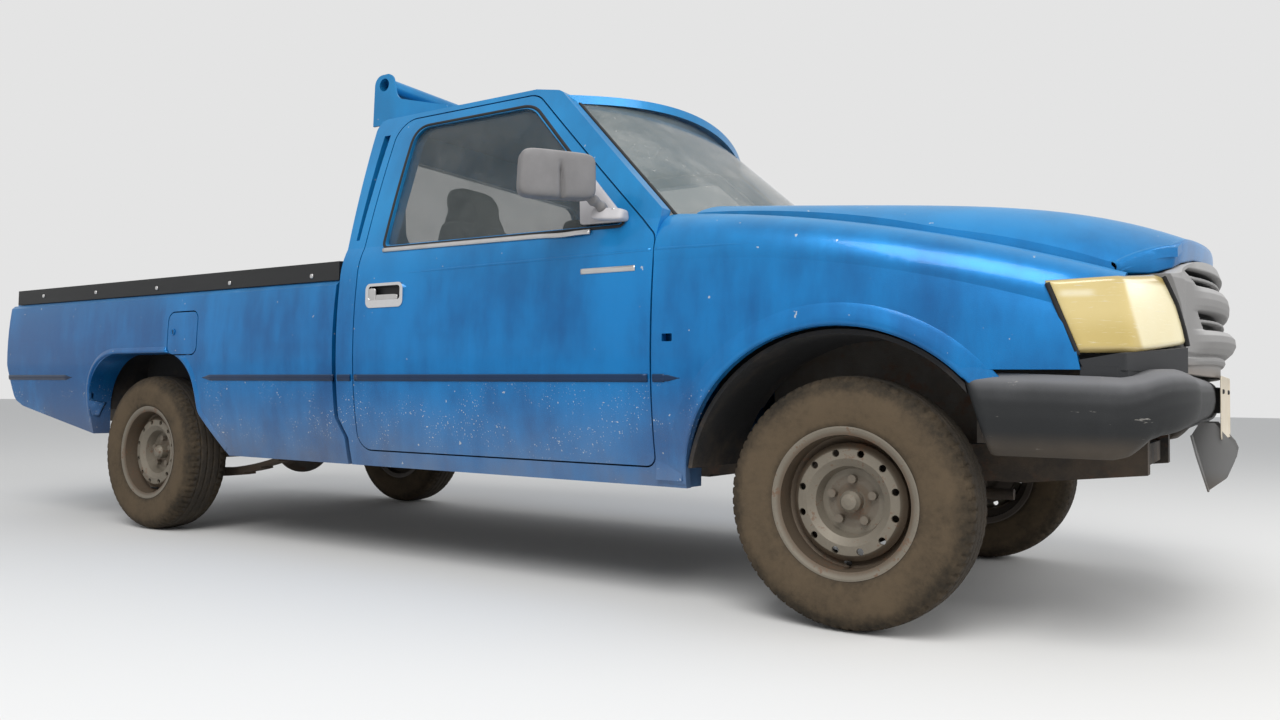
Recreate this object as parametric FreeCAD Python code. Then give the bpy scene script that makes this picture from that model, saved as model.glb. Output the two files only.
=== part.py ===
"""Single-cab pickup truck, long bed, two-wheel drive. Millimetres, +X forward, +Y to its left, +Z up.

The origin is on the ground, in the middle of the length. The right side is drawn, and the left is its mirror.
"""
import FreeCAD
import Part
import math
import os

V = FreeCAD.Vector

# Overall sizes and the places of the axles
front_overhang = 840.0
wheelbase = 3085.0
rear_overhang = 1125.0
waist_half = 845.0      # half the body's width at its widest
wheel_inset = 130.0     # the body's side to the middle of a tyre
tyre_radius = 325.0
tyre_width = 188.0
overall_length = front_overhang + wheelbase + rear_overhang
front_x = overall_length / 2
rear_x = -overall_length / 2
front_axle_x = front_x - front_overhang
rear_axle_x = front_axle_x - wheelbase
wheel_y = waist_half - wheel_inset
hub_z = tyre_radius
beyond = waist_half + 155.0     # a place clear of the body's side, where cutting shapes start

# Fits and gaps
shut_gap = 5.0          # between a door, lid or gate and the panel beside it
seat_gap = 0.3          # between a piece and the seat it is glued or sprung into

# Side of the body: heights, and half widths at those heights
sill_z = 335.0
crease_z = sill_z + 305.0
belt_z = crease_z + 345.0
glass_z = belt_z + 115.0
roof_edge_z = glass_z + 512.0
sill_half = waist_half - 50.0
belt_half = waist_half - 7.0
glass_half = waist_half - 39.0
roof_half = waist_half - 205.0
side_bulge = 7.0        # how far each stretch of the side stands out of a straight line
panel_skin = 25.0       # a wing's thickness with its flanges
door_inner_half = waist_half - 110.0
rocker_inner_half = door_inner_half - 35.0
rocker_top_z = sill_z + 52.0
floor_z = rocker_top_z + 113.0
frame_thickness = 46.0  # of a window frame or pillar

# Doors and cab
door_setback = 550.0    # front axle to the door's front edge
door_length = 1215.0
door_bottom_z = rocker_top_z + shut_gap
door_top_z = roof_edge_z - 24.0
door_corner = 60.0
quarter_width = 90.0    # door's rear edge to the back of the cab
bed_gap = 20.0          # between the cab and the bed
screen_rake = 0.953     # rise of the windscreen's edge for each unit of run
screen_base = (front_axle_x - 515.0, glass_z)
screen_bow_low = 215.0  # how far the glass bows forward, at its foot and its top
screen_bow_high = 160.0
pillar_width = 98.0     # windscreen edge to the door, along X
window_rim = 57.0       # door's edge to its glass, along X
window_top_z = door_top_z - 43.0
glass_thickness = 6.0
door_front_x = front_axle_x - door_setback
door_rear_x = door_front_x - door_length
cab_back_x = door_rear_x - quarter_width
cab_lean = 35.0         # how far the back of the cab leans back at the roof
corner_tuck = 40.0      # the cab's lower rear corner is cut away by this
tuck_top_z = sill_z + 165.0
tuck_low_z = sill_z + 95.0
bed_front_x = cab_back_x - bed_gap
wall = 40.0


def at(plane, a, b, level):
    """The point (a, b) of a drawing plane, at that level along the plane's normal."""
    return {"xz": V(a, level, b), "yz": V(level, a, b), "xy": V(a, b, level)}[plane]


def outline(points, plane, level=0.0):
    """Closed wire through corners (a, b) or (a, b, radius). ("via", a, b) bends the side it stands in to an arc."""
    corners = [p for p in points if p[0] != "via"]
    count = len(corners)
    bends, seen = {}, -1
    for p in points:
        if p[0] == "via":
            bends[seen % count] = (p[1], p[2])
        else:
            seen += 1
    trims = []
    for i, corner in enumerate(corners):
        here = V(corner[0], corner[1], 0)
        radius = corner[2] if len(corner) > 2 else 0.0
        if not radius:
            trims.append((here, None, here))
            continue
        back = V(corners[i - 1][0], corners[i - 1][1], 0) - here
        ahead = V(corners[(i + 1) % count][0], corners[(i + 1) % count][1], 0) - here
        half = back.getAngle(ahead) / 2
        back.normalize()
        ahead.normalize()
        trim = radius / math.tan(half)
        inward = (back + ahead).normalize()
        middle = here + inward * (radius / math.sin(half) - radius)
        trims.append((here + back * trim, middle, here + ahead * trim))
    edges = []
    for i in range(count):
        start, middle, end = trims[i]
        if middle is not None:
            edges.append(Part.Arc(*[at(plane, p.x, p.y, level) for p in (start, middle, end)]).toShape())
        following = trims[(i + 1) % count][0]
        a, b = at(plane, end.x, end.y, level), at(plane, following.x, following.y, level)
        if i in bends:
            edges.append(Part.Arc(a, at(plane, *bends[i], level), b).toShape())
        elif a.distanceToPoint(b) > 1e-4:
            edges.append(Part.makeLine(a, b))
    return Part.Wire(edges)


def slab(points, plane, low, high, grow=0.0):
    """Solid between two levels of a drawing plane, its outline grown by an offset."""
    wire = outline(points, plane, low) if isinstance(points, list) else points
    if grow:
        wire = wire.makeOffset2D(grow)
    step = {"xz": V(0, high - low, 0), "yz": V(high - low, 0, 0), "xy": V(0, 0, high - low)}[plane]
    return Part.Face(wire).extrude(step)


def box(x0, x1, y0, y1, z0, z1):
    return Part.makeBox(x1 - x0, y1 - y0, z1 - z0, V(x0, y0, z0))


def rod(start, end, radius):
    """Round bar between two points."""
    start, end = V(*start), V(*end)
    return Part.makeCylinder(radius, (end - start).Length, start, end - start)


def ring(centre, axis, outer, inner, width):
    """Tube of that width, whose middle is at centre."""
    axis = V(*axis).normalize()
    base = V(*centre) - axis * (width / 2)
    return Part.makeCylinder(outer, width, base, axis).cut(Part.makeCylinder(inner, width, base, axis))


def loft(wires, ruled=False):
    return Part.makeLoft(wires, True, ruled)


def mirrored(shape):
    """The same piece on the truck's left side."""
    return shape.mirror(V(0, 0, 0), V(0, 1, 0))


def both(shape):
    """The right piece and its mirror, as one node of two solids."""
    return Part.makeCompound([shape, mirrored(shape)])


def fused(*shapes):
    return shapes[0].multiFuse(list(shapes[1:])).removeSplitter() if len(shapes) > 1 else shapes[0]


def side_line(inset=0.0, top="roof"):
    """Outline points up the right side's outer surface, moved inboard by inset."""
    rows = [(sill_half, sill_z), (waist_half, crease_z), (belt_half, belt_z)]
    if top == "roof":
        rows += [(glass_half, glass_z), (roof_half, roof_edge_z)]
    points = []
    for i, (half, z) in enumerate(rows):
        if i:
            last_half, last_z = rows[i - 1]
            points.append(("via", -(half + last_half) / 2 - side_bulge + inset, (z + last_z) / 2))
        points.append((-half + inset, z))
    return points


def screen_x(z):
    """Where the windscreen's edge is at a height, in side view."""
    return screen_base[0] - (z - screen_base[1]) / screen_rake


door_shape = [
    (door_rear_x, door_bottom_z, door_corner),
    (door_front_x, door_bottom_z, door_corner / 2),
    (door_front_x, glass_z - 55, 40),
    (screen_x(door_top_z) - pillar_width, door_top_z, 90),
    (door_rear_x, door_top_z, door_corner + 20),
]
window_shape = [
    (door_rear_x + 100, glass_z, 20),
    (screen_x(glass_z) - pillar_width - window_rim, glass_z - 8, 8),
    (screen_x(window_top_z) - pillar_width - window_rim, window_top_z, 110),
    (door_rear_x + 100, window_top_z, 60),
]


# Cab: sides with pillars and sill, roof, back wall, floor, cowl, glass
def side_body():
    """The cab's whole right wall, before the door is cut out of it."""
    section = side_line() + [
        (-roof_half + frame_thickness, roof_edge_z),
        (-glass_half + frame_thickness, glass_z),
        (-door_inner_half, glass_z - 50),
        (-door_inner_half, rocker_top_z),
        (-rocker_inner_half, rocker_top_z),
        (-rocker_inner_half, sill_z),
    ]
    return slab(section, "yz", cab_back_x - cab_lean, front_x)


hinge_heights = (crease_z - 110.0, belt_z - 85.0)
post_x = door_front_x + shut_gap - seat_gap


def cab_outline():
    return [
        (cab_back_x + corner_tuck, sill_z),
        (post_x, sill_z),
        (post_x, screen_base[1] + (screen_base[0] - post_x) * screen_rake),
        (screen_x(roof_edge_z - 22), roof_edge_z - 22, 60),
        (screen_x(roof_edge_z - 22) - 110, roof_edge_z),
        (cab_back_x - cab_lean, roof_edge_z, 45),
        (cab_back_x, glass_z),
        (cab_back_x, tuck_top_z, 30),
        (cab_back_x + corner_tuck, tuck_low_z, 30),
    ]


def a_post():
    """Hinge post behind the wing, standing on the front end of the sill, with two hinge leaves for the door."""
    depth = 84.0
    x0, x1 = post_x, door_front_x + shut_gap + depth
    outer = -waist_half + panel_skin + 7
    inner = -door_inner_half
    sill = box(x0 - 20, x1, -sill_half + 30, -rocker_inner_half, sill_z, rocker_top_z)
    post = slab([(outer, sill_z + 20), (outer, belt_z - 55), (-waist_half + 70, belt_z + 45),
                 (inner, glass_z - 26), (inner, sill_z + 20)],
                "yz", x0, x1)
    brace = box(x0 - 15, x0 + 30, inner - 27, inner, glass_z - 40, glass_z - 22)
    leaves = [box(door_front_x + seat_gap, x0 + 20, outer + 15, inner - 20, z - 30, z + 30) for z in hinge_heights]
    return [sill, post, brace] + leaves


def pillar_groove():
    """Upright rain groove behind the door, in the cab's rear corner."""
    x = cab_back_x + 42
    low, high = glass_z + 30, roof_edge_z - 72
    points = [(x - 8, low), (x + 8, low), (x + 12, high), (x - 20, high)]
    return slab(points, "xz", -waist_half, -roof_half + 6)


def cab_sides():
    whole = side_body().common(slab(cab_outline(), "xz", -waist_half - 20, -rocker_inner_half + 110))
    whole = whole.cut(slab(door_shape, "xz", -beyond, 0, shut_gap))
    return whole.multiFuse(a_post()).removeSplitter()


roof_rows = [  # x, edge height, crown height
    (cab_back_x - cab_lean, roof_edge_z - 8, roof_edge_z + 14),
    (cab_back_x + 380, roof_edge_z, roof_edge_z + 44),
    (screen_x(roof_edge_z - 40) + 170, roof_edge_z - 66, roof_edge_z + 22),
]
roof_skin = 28.0


def cab_roof(sides):
    def section(x, edge, crown):
        return outline([
            (-roof_half, edge), ("via", 0, crown), (roof_half, edge),
            (roof_half, edge - roof_skin), ("via", 0, crown - roof_skin), (-roof_half, edge - roof_skin),
        ], "yz", x)
    shell = loft([section(*row) for row in roof_rows])
    corner = 70.0
    nose = screen_x(roof_edge_z - 40)
    plan = [
        (cab_back_x - cab_lean, -roof_half, corner), (nose, -roof_half), ("via", nose + screen_bow_high - 14, 0),
        (nose, roof_half), (cab_back_x - cab_lean, roof_half, corner),
    ]
    shell = shell.common(slab(plan, "xy", roof_edge_z - 200, roof_edge_z + 100))
    opening = slab(door_shape, "xz", -waist_half - 20, -roof_half + frame_thickness + 8, shut_gap)
    shell = shell.cut(opening).cut(mirrored(opening))
    shell = shell.cut(sides).cut(mirrored(sides))
    return max(shell.Solids, key=lambda s: s.Volume)


back_window_half = roof_half - 80.0
back_window_low = glass_z + 40.0
back_window_high = roof_edge_z - 132.0


def back_strip(start, end):
    """A sheet that follows the leaning back of the cab, from start to end inboard of its rear face."""
    points = [
        (cab_back_x + start, rocker_top_z), (cab_back_x + end, rocker_top_z), (cab_back_x + end, glass_z),
        (cab_back_x - cab_lean + end, roof_edge_z), (cab_back_x - cab_lean + start, roof_edge_z),
        (cab_back_x + start, glass_z),
    ]
    return slab(points, "xz", -sill_half, sill_half)


def back_window(low, high, grow):
    points = [(-back_window_half, back_window_low, 60), (back_window_half, back_window_low, 60),
              (back_window_half, back_window_high, 60), (-back_window_half, back_window_high, 60)]
    return slab(points, "yz", low, high, grow)


def cab_back(sides, roof):
    panel = back_strip(0, wall)
    panel = panel.cut(box(cab_back_x - 100, cab_back_x + corner_tuck, -sill_half, sill_half, 0, tuck_top_z))
    panel = panel.cut(back_window(cab_back_x - 200, cab_back_x + 200, 0))
    lining = [(-door_inner_half, rocker_top_z), (-door_inner_half, glass_z), (-roof_half + 10, roof_edge_z),
              (roof_half - 10, roof_edge_z), (door_inner_half, glass_z), (door_inner_half, rocker_top_z)]
    panel = panel.common(slab(lining, "yz", cab_back_x - 200, cab_back_x + 200))
    return panel.cut(sides).cut(mirrored(sides)).cut(roof)


def back_glass():
    pane = back_strip(wall / 2 - glass_thickness / 2, wall / 2 + glass_thickness / 2)
    return pane.common(back_window(cab_back_x - 200, cab_back_x + 200, -seat_gap))


screen_half_low = glass_half - 52.0
screen_half_high = roof_half - 67.0
screen_top_z = roof_edge_z + 22


def windscreen(sides, roof):
    def section(z, half, bow, z_level):
        x = screen_x(z) - 8
        return outline([
            (x, -half), ("via", x + bow, 0), (x, half),
            (x - glass_thickness, half), ("via", x + bow - glass_thickness, 0), (x - glass_thickness, -half),
        ], "xy", z_level)
    pane = loft([
        section(glass_z, screen_half_low, screen_bow_low, glass_z),
        section(screen_top_z, screen_half_high, screen_bow_high, screen_top_z),
    ], True)
    pane = pane.cut(sides).cut(mirrored(sides)).cut(roof)
    return max(pane.Solids, key=lambda s: s.Volume)


floor_thickness = 30.0
firewall_x = door_front_x + 15
firewall_thickness = 25.0
cowl_z = glass_z - 2
cowl_thickness = 26.0


def cab_floor():
    outer = door_inner_half - shut_gap
    inner = rocker_inner_half
    section = [
        (-outer, rocker_top_z), (-outer, floor_z), (outer, floor_z), (outer, rocker_top_z),
        (inner, rocker_top_z), (inner, floor_z - floor_thickness),
        (-inner, floor_z - floor_thickness), (-inner, rocker_top_z),
    ]
    pan = slab(section, "yz", cab_back_x + wall, firewall_x)
    tunnel_half = 130.0
    tunnel = slab([(-tunnel_half, floor_z - 5), (-tunnel_half + 30, floor_z + 90, 40),
                   (tunnel_half - 30, floor_z + 90, 40), (tunnel_half, floor_z - 5)],
                  "yz", firewall_x - 590, firewall_x)
    return fused(pan, tunnel)


def cowl():
    """Firewall, and the panel under the wipers that joins it to the windscreen."""
    wall_part = box(firewall_x, firewall_x + firewall_thickness, -door_inner_half, door_inner_half,
                    floor_z - floor_thickness, cowl_z - cowl_thickness)
    x = screen_base[0] - 40
    half = door_inner_half - 12
    top = slab([(x, -half), ("via", x + 60, 0), (x, half), (bonnet_rear_x - 12, half),
                ("via", bonnet_rear_x + bonnet_rear_bow - 12, 0), (bonnet_rear_x - 12, -half)],
               "xy", cowl_z - cowl_thickness, cowl_z)
    hinges = []
    hinge_y = door_inner_half - 45
    for y in (-hinge_y, hinge_y - 30):
        foot = box(bonnet_rear_x + 8, bonnet_rear_x + 50, y, y + 30, cowl_z - 20, cowl_z + 36)
        stumps = foot.cut(bonnet_solid(bonnet_skin + seat_gap)).Solids
        hinges.append(min(stumps, key=lambda s: s.BoundBox.ZMin))
    return fused(wall_part, top, *hinges)


def dashboard():
    x = firewall_x
    profile = [(x, cowl_z - 338), (x, cowl_z - cowl_thickness), (x - 60, cowl_z - cowl_thickness),
               (x - 270, cowl_z - 52, 40), (x - 310, cowl_z - 148, 40), (x - 250, cowl_z - 308, 30)]
    board = slab(profile, "xz", -door_inner_half + 12, door_inner_half - 12)
    column_end = [steering_centre[i] - steering_axis[i] * (60 + seat_gap) for i in range(3)]
    column_start = [steering_centre[i] - steering_axis[i] * 240 for i in range(3)]
    return fused(board, rod(column_start, column_end, 32))


# Seats, and the steering wheel in front of the left one
console_half = 130.0
seat_width = door_inner_half - console_half - 135.0
seat_centre_y = console_half + seat_width / 2
steering_tilt = math.radians(30)
steering_axis = (-math.cos(steering_tilt), 0.0, math.sin(steering_tilt))
steering_centre = (door_front_x - 430, seat_centre_y, floor_z + 510)
steering_radius = 190.0


def steering_wheel():
    centre, axis = V(*steering_centre), V(*steering_axis)
    across = V(0, 1, 0)
    down = axis.cross(across)
    corners = [math.radians(22.5 + 45 * i) for i in range(8)]
    wire = Part.makePolygon([centre + down * (steering_radius + 15 * math.cos(turn)) + axis * (15 * math.sin(turn))
                             for turn in corners + corners[:1]])
    rim = Part.Face(wire).revolve(centre, axis, 360)
    hub = Part.makeCylinder(46, 34, centre - axis * 40, axis)
    shaft = Part.makeCylinder(16, 24, centre - axis * 60, axis)
    spokes = []
    for side, drop in ((1, 0.30), (-1, 0.30), (0.45, 1), (-0.45, 1)):
        aim = (across * side + down * drop).normalize()
        spokes.append(rod(tuple(centre - axis * 20), tuple(centre + aim * steering_radius - axis * 2), 9))
    return rim.multiFuse([hub, shaft] + spokes)


def seats():
    """Two high-backed seats, each on its own base on the floor."""
    front = door_front_x - 545
    z = floor_z
    profile = [
        (front - 60, z), (front, z + 160, 40), (front - 10, z + 300, 50), (front - 405, z + 270, 60),
        (front - 500, z + 680), (front - 530, z + 910, 55), (front - 640, z + 910, 45), (front - 625, z + 680),
        (front - 560, z + 120, 60), (front - 520, z),
    ]
    seat = slab(profile, "xz", -seat_centre_y - seat_width / 2, -seat_centre_y + seat_width / 2)
    head_half = 140.0
    for side in (-1, 1):
        y0 = -seat_centre_y + side * head_half
        y1 = -seat_centre_y + side * seat_width
        shoulder = [(y0, z + 980), (y0, z + 790, 60), (y1, z + 650), (y1, z + 980)]
        seat = seat.cut(slab(shoulder, "yz", front - 800, front - 300))
    return both(seat)


# Doors
def door(body):
    panel = body.common(slab(door_shape, "xz", -beyond, 0))
    return panel.cut(slab(window_shape, "xz", -beyond, 0)).cut(handle_recess())


handle_x = door_rear_x + 145
handle_z = belt_z - 63
handle_length = 180.0
handle_height = 84.0


def handle_recess():
    x0, x1 = handle_x - handle_length / 2, handle_x + handle_length / 2
    z0, z1 = handle_z - handle_height / 2, handle_z + handle_height / 2
    points = [(x0, z0, 22), (x1, z0, 22), (x1, z1, 22), (x0, z1, 22)]
    return slab(points, "xz", -waist_half - 20, -waist_half + 26)


def door_handle():
    """Bezel and pull flap, standing 2 mm out of the door."""
    gap = seat_gap
    x0, x1 = handle_x - handle_length / 2, handle_x + handle_length / 2
    z0, z1 = handle_z - handle_height / 2, handle_z + handle_height / 2
    outer = [(x0, z0, 22), (x1, z0, 22), (x1, z1, 22), (x0, z1, 22)]
    cup = slab(outer, "xz", -waist_half - 4, -waist_half + 26, -gap)
    hollow = slab([(x0 + 14, z0 + 26, 10), (x1 - 14, z0 + 26, 10), (x1 - 14, z1 - 10, 12), (x0 + 14, z1 - 10, 12)],
                  "xz", -waist_half - 20, -waist_half + 20)
    return cup.cut(hollow)


def door_glass():
    outer = side_line(12)[4:]
    inner = side_line(12 + glass_thickness)[4:]
    closed = outer + list(reversed(inner))
    pane = slab(closed, "yz", door_rear_x, door_front_x)
    return pane.common(slab(window_shape, "xz", -waist_half, 0, -seat_gap))


mirror_x = screen_x(glass_z) - 290
mirror_head_y = -waist_half - 115.0
mirror_head_z = glass_z + 118.0


def mirror(wall_solid):
    """Arm-mounted door mirror: sail and foot in the window's corner, short arm and box head."""
    x, z = mirror_x, mirror_head_z
    head = slab([(x - 42, z - 68, 22), (x + 42, z - 64, 30), (x + 36, z + 60, 30), (x - 42, z + 68, 22)],
                "xz", mirror_head_y - 112, mirror_head_y + 112)
    head = head.cut(box(x - 60, x - 34, mirror_head_y - 99, mirror_head_y + 99, z - 56, z + 54))
    low_x = screen_x(glass_z) - pillar_width - window_rim
    rise = 150.0
    sail = [(low_x - 150, glass_z - 2, 12), (low_x + 24, glass_z - 2, 8),
            (low_x + 10 - rise / screen_rake, glass_z + rise, 20)]
    plate = wall_solid.translated(V(0, -14, 0)).common(slab(sail, "xz", -beyond, 0))
    foot = slab([(low_x - 92, glass_z + 4, 6), (low_x + 14, glass_z + 2, 6), (low_x + 14, glass_z + 26, 8),
                 (low_x - 60, glass_z + 44, 12)], "xz", -glass_half - 34, -glass_half + 10)
    arm = rod((low_x - 62, -glass_half - 12, glass_z + 24), (x + 20, mirror_head_y + 84, z - 44), 15)
    return head.multiFuse([shape.cut(wall_solid.translated(V(0, -seat_gap, 0))) for shape in (plate, foot, arm)])


# Nose: wings, bonnet, lamps, grille, bumper
inner_wing_y = waist_half - 345.0
grille_half = waist_half - 305.0
bonnet_rear_x = screen_base[0] + 39
bonnet_rear_bow = screen_bow_low - 15
bonnet_tip_x = front_x - 58
bonnet_skin = 22.0
bonnet_rows = [  # x, half width, edge height, shoulder height, crown height
    (bonnet_rear_x - 20, waist_half - 129, glass_z + 28, glass_z + 50, glass_z + 72),
    (front_axle_x + 215, waist_half - 133, glass_z - 88, glass_z + 8, glass_z + 42),
    (front_axle_x + 645, waist_half - 214, glass_z - 196, glass_z - 70, glass_z - 34),
    (front_axle_x + 790, waist_half - 255, glass_z - 238, glass_z - 132, glass_z - 97),
]


def bonnet_outline(grow=0.0):
    """Plan of the lid, from its hinge line to the lip over the grille."""
    rear, tip = bonnet_rear_x - grow, bonnet_tip_x + grow
    half = [row[1] + grow for row in bonnet_rows]
    shoulder, lip = waist_half - 193 + grow, grille_half + grow
    return [
        (rear, -half[0]), (bonnet_rows[1][0], -half[1], 900), (front_axle_x + 615, -shoulder, 60),
        (tip - 52, -lip), ("via", tip, 0), (tip - 52, lip),
        (front_axle_x + 615, shoulder, 60), (bonnet_rows[1][0], half[1], 900),
        (rear, half[0]), ("via", rear + bonnet_rear_bow, 0),
    ]


def bonnet_solid(drop):
    """Lofted lid: a crown between two rounded shoulders, with that thickness."""
    def section(x, half, edge, shoulder, crown):
        inner = half * 0.72
        top = [(-half - 30, edge - 30), ("via", -half * 0.9, (edge + shoulder) / 2 + 16), (-inner, shoulder),
               ("via", 0, crown), (inner, shoulder), ("via", half * 0.9, (edge + shoulder) / 2 + 16),
               (half + 30, edge - 30)]
        low = [(half + 30, edge - 30 - drop), ("via", half * 0.9, (edge + shoulder) / 2 + 16 - drop),
               (inner, shoulder - drop), ("via", 0, crown - drop), (-inner, shoulder - drop),
               ("via", -half * 0.9, (edge + shoulder) / 2 + 16 - drop), (-half - 30, edge - 30 - drop)]
        return outline(top + low, "yz", x)
    return loft([section(*row) for row in bonnet_rows])


def bonnet():
    return bonnet_solid(bonnet_skin).common(slab(bonnet_outline(), "xy", crease_z, roof_edge_z))


wing_rows = [  # x, sill half, waist half, crease half, crease height, top half, top height
    (door_front_x + shut_gap, sill_half, waist_half, waist_half - 5, belt_z - 17, waist_half - 123, glass_z + 24),
    (front_axle_x + 65, sill_half + 7, waist_half, waist_half - 4, belt_z - 65, waist_half - 123, glass_z - 62),
    (front_axle_x + 635, waist_half - 96, waist_half - 72, waist_half - 84, belt_z - 219, waist_half - 185,
     glass_z - 210),
]
arch_radius = tyre_radius + 115.0
arch_centre_x = front_axle_x - 12
arch_centre_z = hub_z + 8


def wing():
    """Front wing shell, lofted along X, with its wheel arch and lamp opening cut."""
    def section(x, low, waist, crease, crease_height, top, top_height):
        skin = panel_skin
        outer = [(-low, sill_z), ("via", -(low + waist) / 2 - 8, (sill_z + crease_z) / 2), (-waist, crease_z),
                 ("via", -(waist + crease) / 2 - 5, (crease_z + crease_height) / 2), (-crease, crease_height),
                 ("via", -(crease + top) / 2 - 28, (crease_height + top_height) / 2 + 26), (-top, top_height)]
        inner = [(-top, top_height - skin),
                 ("via", -(crease + top) / 2 + skin - 28, (crease_height + top_height) / 2 + 26 - skin),
                 (-crease + skin, crease_height),
                 ("via", -(waist + crease) / 2 - 5 + skin, (crease_z + crease_height) / 2), (-waist + skin, crease_z),
                 ("via", -(low + waist) / 2 - 8 + skin, (sill_z + crease_z) / 2), (-low + skin, sill_z)]
        return outline(outer + inner, "yz", x)
    shell = loft([section(*row) for row in wing_rows])
    arch = slab([(arch_centre_x - arch_radius, -50), (arch_centre_x + arch_radius, -50),
                 (arch_centre_x + arch_radius, arch_centre_z), ("via", arch_centre_x, arch_centre_z + arch_radius),
                 (arch_centre_x - arch_radius, arch_centre_z)], "xz", -beyond, -inner_wing_y)
    shell = shell.cut(arch)
    shell = shell.cut(lamp_region(0.8)).cut(bumper_space())
    x0, x1, z0, z1 = front_axle_x - 510, front_axle_x - 476, crease_z + 102, crease_z + 124
    repeater = [(x0, z0, 3), (x1, z0, 3), (x1, z1, 3), (x0, z1, 3)]
    shell = shell.cut(slab(repeater, "xz", -beyond, -inner_wing_y))
    return max(shell.Solids, key=lambda s: s.Volume)


nose_plan = [  # x, y of the front corner's outer surface
    (front_axle_x + 440, -waist_half + 36), (front_axle_x + 640, -waist_half + 82),
    (front_axle_x + 752, -waist_half + 297),
]
lamp_top_z = belt_z - 119.0
lamp_low_z = crease_z + 50.0
bumper_high = crease_z + 20.0
bumper_low = bumper_high - 198.0


def nose_band(outer, depth, low, high):
    """Upright band round the right front corner, outer clear of the nose's plan, between two heights."""
    (x0, y0), (x1, y1), (x2, y2) = nose_plan
    face = [(x0, y0 - outer), (x1, y1 - outer, 16), (x2 + outer, y2), (x2 + outer - depth, y2 + 6),
            (x1 - depth, y1 + depth, 30), (x0, y0 + depth)]
    return slab(face, "xy", low, high)


def lamp_region(grow):
    """The headlamp's outline seen from the side and from ahead, grown all round, as deep as the whole corner."""
    top, low, inner = lamp_top_z + grow, lamp_low_z - grow, grille_half + 8 - grow
    side = [(front_axle_x + 480 - grow, top), (front_axle_x + 545 - grow, low), (front_x + 50, low),
            (front_x + 50, top + 20)]
    front = [(-beyond, top - 4), (-inner, top + 36), (-inner, low + 36), (-beyond, low - 8)]
    return slab(side, "xz", -beyond, 0).common(slab(front, "yz", front_axle_x, front_x + 50))


def headlamps():
    return both(nose_band(0, 70, bumper_low, belt_z).common(lamp_region(0)))


def lamp_trim():
    """Dark filler strip between headlamp and bumper."""
    band = nose_band(-2, 60, bumper_low, belt_z)
    low = bumper_high + seat_gap
    side = [(front_axle_x + 548, lamp_low_z - 6), (front_axle_x + 558, low), (front_x, low),
            (front_x, lamp_low_z + 50)]
    inner = grille_half + 8
    front = [(-beyond, lamp_low_z - 14), (-inner, lamp_low_z + 30), (-inner, low), (-beyond, low)]
    return band.common(slab(side, "xz", -beyond, 0)).common(slab(front, "yz", front_axle_x, front_x))


grille_slots = [  # lower edge, upper edge, half width at the upper edge
    (bumper_high + 208, bumper_high + 232, grille_half - 160),
    (bumper_high + 242, bumper_high + 266, grille_half - 180),
    (bumper_high + 76, bumper_high + 100, grille_half - 140),
    (bumper_high + 110, bumper_high + 134, grille_half - 126),
]


def grille():
    """Moulded grille: bowed face with two mouths, each divided by a slat."""
    x, depth = front_x - 100, 46
    plan = [(x, -grille_half), ("via", front_x - 22, 0), (x, grille_half),
            (x - depth, grille_half), ("via", front_x - 22 - depth, 0), (x - depth, -grille_half)]
    low = bumper_high + seat_gap
    side, top, brow = grille_half + 20, bumper_high + 228, grille_half - 160
    face = [(-side, low), (side, low), (side, top), (brow, top + 70, 120), (-brow, top + 70, 120), (-side, top)]
    shell = slab(plan, "xy", bumper_low, belt_z).common(slab(face, "yz", front_x - 400, front_x))
    for low, high, half in grille_slots:
        slot = [(-half + 26, low, 8), (half - 26, low, 8), (half, high, 8), (-half, high, 8)]
        shell = shell.cut(slab(slot, "yz", front_x - 400, front_x))
    return shell


bumper_rear_x = front_axle_x + tyre_radius - 25
bumper_depth = 70.0
bumper_roll = [  # share of the height from the bottom, how far the face is in from the plan
    (0.0, 26), (0.14, 8), (0.42, 0), (0.80, 7), (0.94, 16), (1.0, 34),
]


def bumper_plan(inset):
    """Half-turn plan of the bumper, inset inboard of its outer face."""
    i, w = inset, waist_half
    return [
        (bumper_rear_x, -w + 13 + i), (front_x - 240, -w + 19 + i), ("via", front_x - 95 - i, -w + 133 + i),
        (front_x - 62 - i, -w + 285 + i), ("via", front_x - 45 - i, 0), (front_x - 62 - i, w - 285 - i),
        ("via", front_x - 95 - i, w - 133 - i), (front_x - 240, w - 19 - i), (bumper_rear_x, w - 13 - i),
    ]


def bumper_ends(z0, z1):
    """Side view of the bumper: its rear end leans with the wheel arch."""
    return [(bumper_rear_x, z1), (bumper_rear_x + 62, z0), (front_x + 20, z0), (front_x + 20, z1)]


def bumper():
    height = bumper_high - bumper_low
    back = list(reversed(bumper_plan(bumper_depth)))
    whole = loft([outline(bumper_plan(inset) + back, "xy", bumper_low + share * height)
                  for share, inset in bumper_roll], True)
    whole = whole.common(slab(bumper_ends(bumper_low, bumper_high), "xz", -beyond, beyond))
    wide, narrow, top = grille_half - 20, grille_half - 110, bumper_low + 78
    mouth = [(-wide, bumper_low - 40), (wide, bumper_low - 40), (wide, bumper_low + 1), (narrow, top, 40),
             (-narrow, top, 40), (-wide, bumper_low + 1)]
    return whole.cut(slab(mouth, "yz", front_axle_x + 650, front_x + 50))


def bumper_space():
    """What the bumper and its filler strip take out of the wing."""
    low = slab([(bumper_rear_x - 2, bumper_high + 2), (bumper_rear_x + 64, bumper_low - 130),
                (front_x + 50, bumper_low - 130), (front_x + 50, bumper_high + 2)], "xz", -beyond, -inner_wing_y)
    high = lamp_low_z + 40
    strip = slab([(front_axle_x + 542, high), (front_axle_x + 544, high - 30), (front_axle_x + 556, crease_z),
                  (front_x, crease_z), (front_x, high)], "xz", -beyond, -inner_wing_y)
    return low.fuse(strip)


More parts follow.
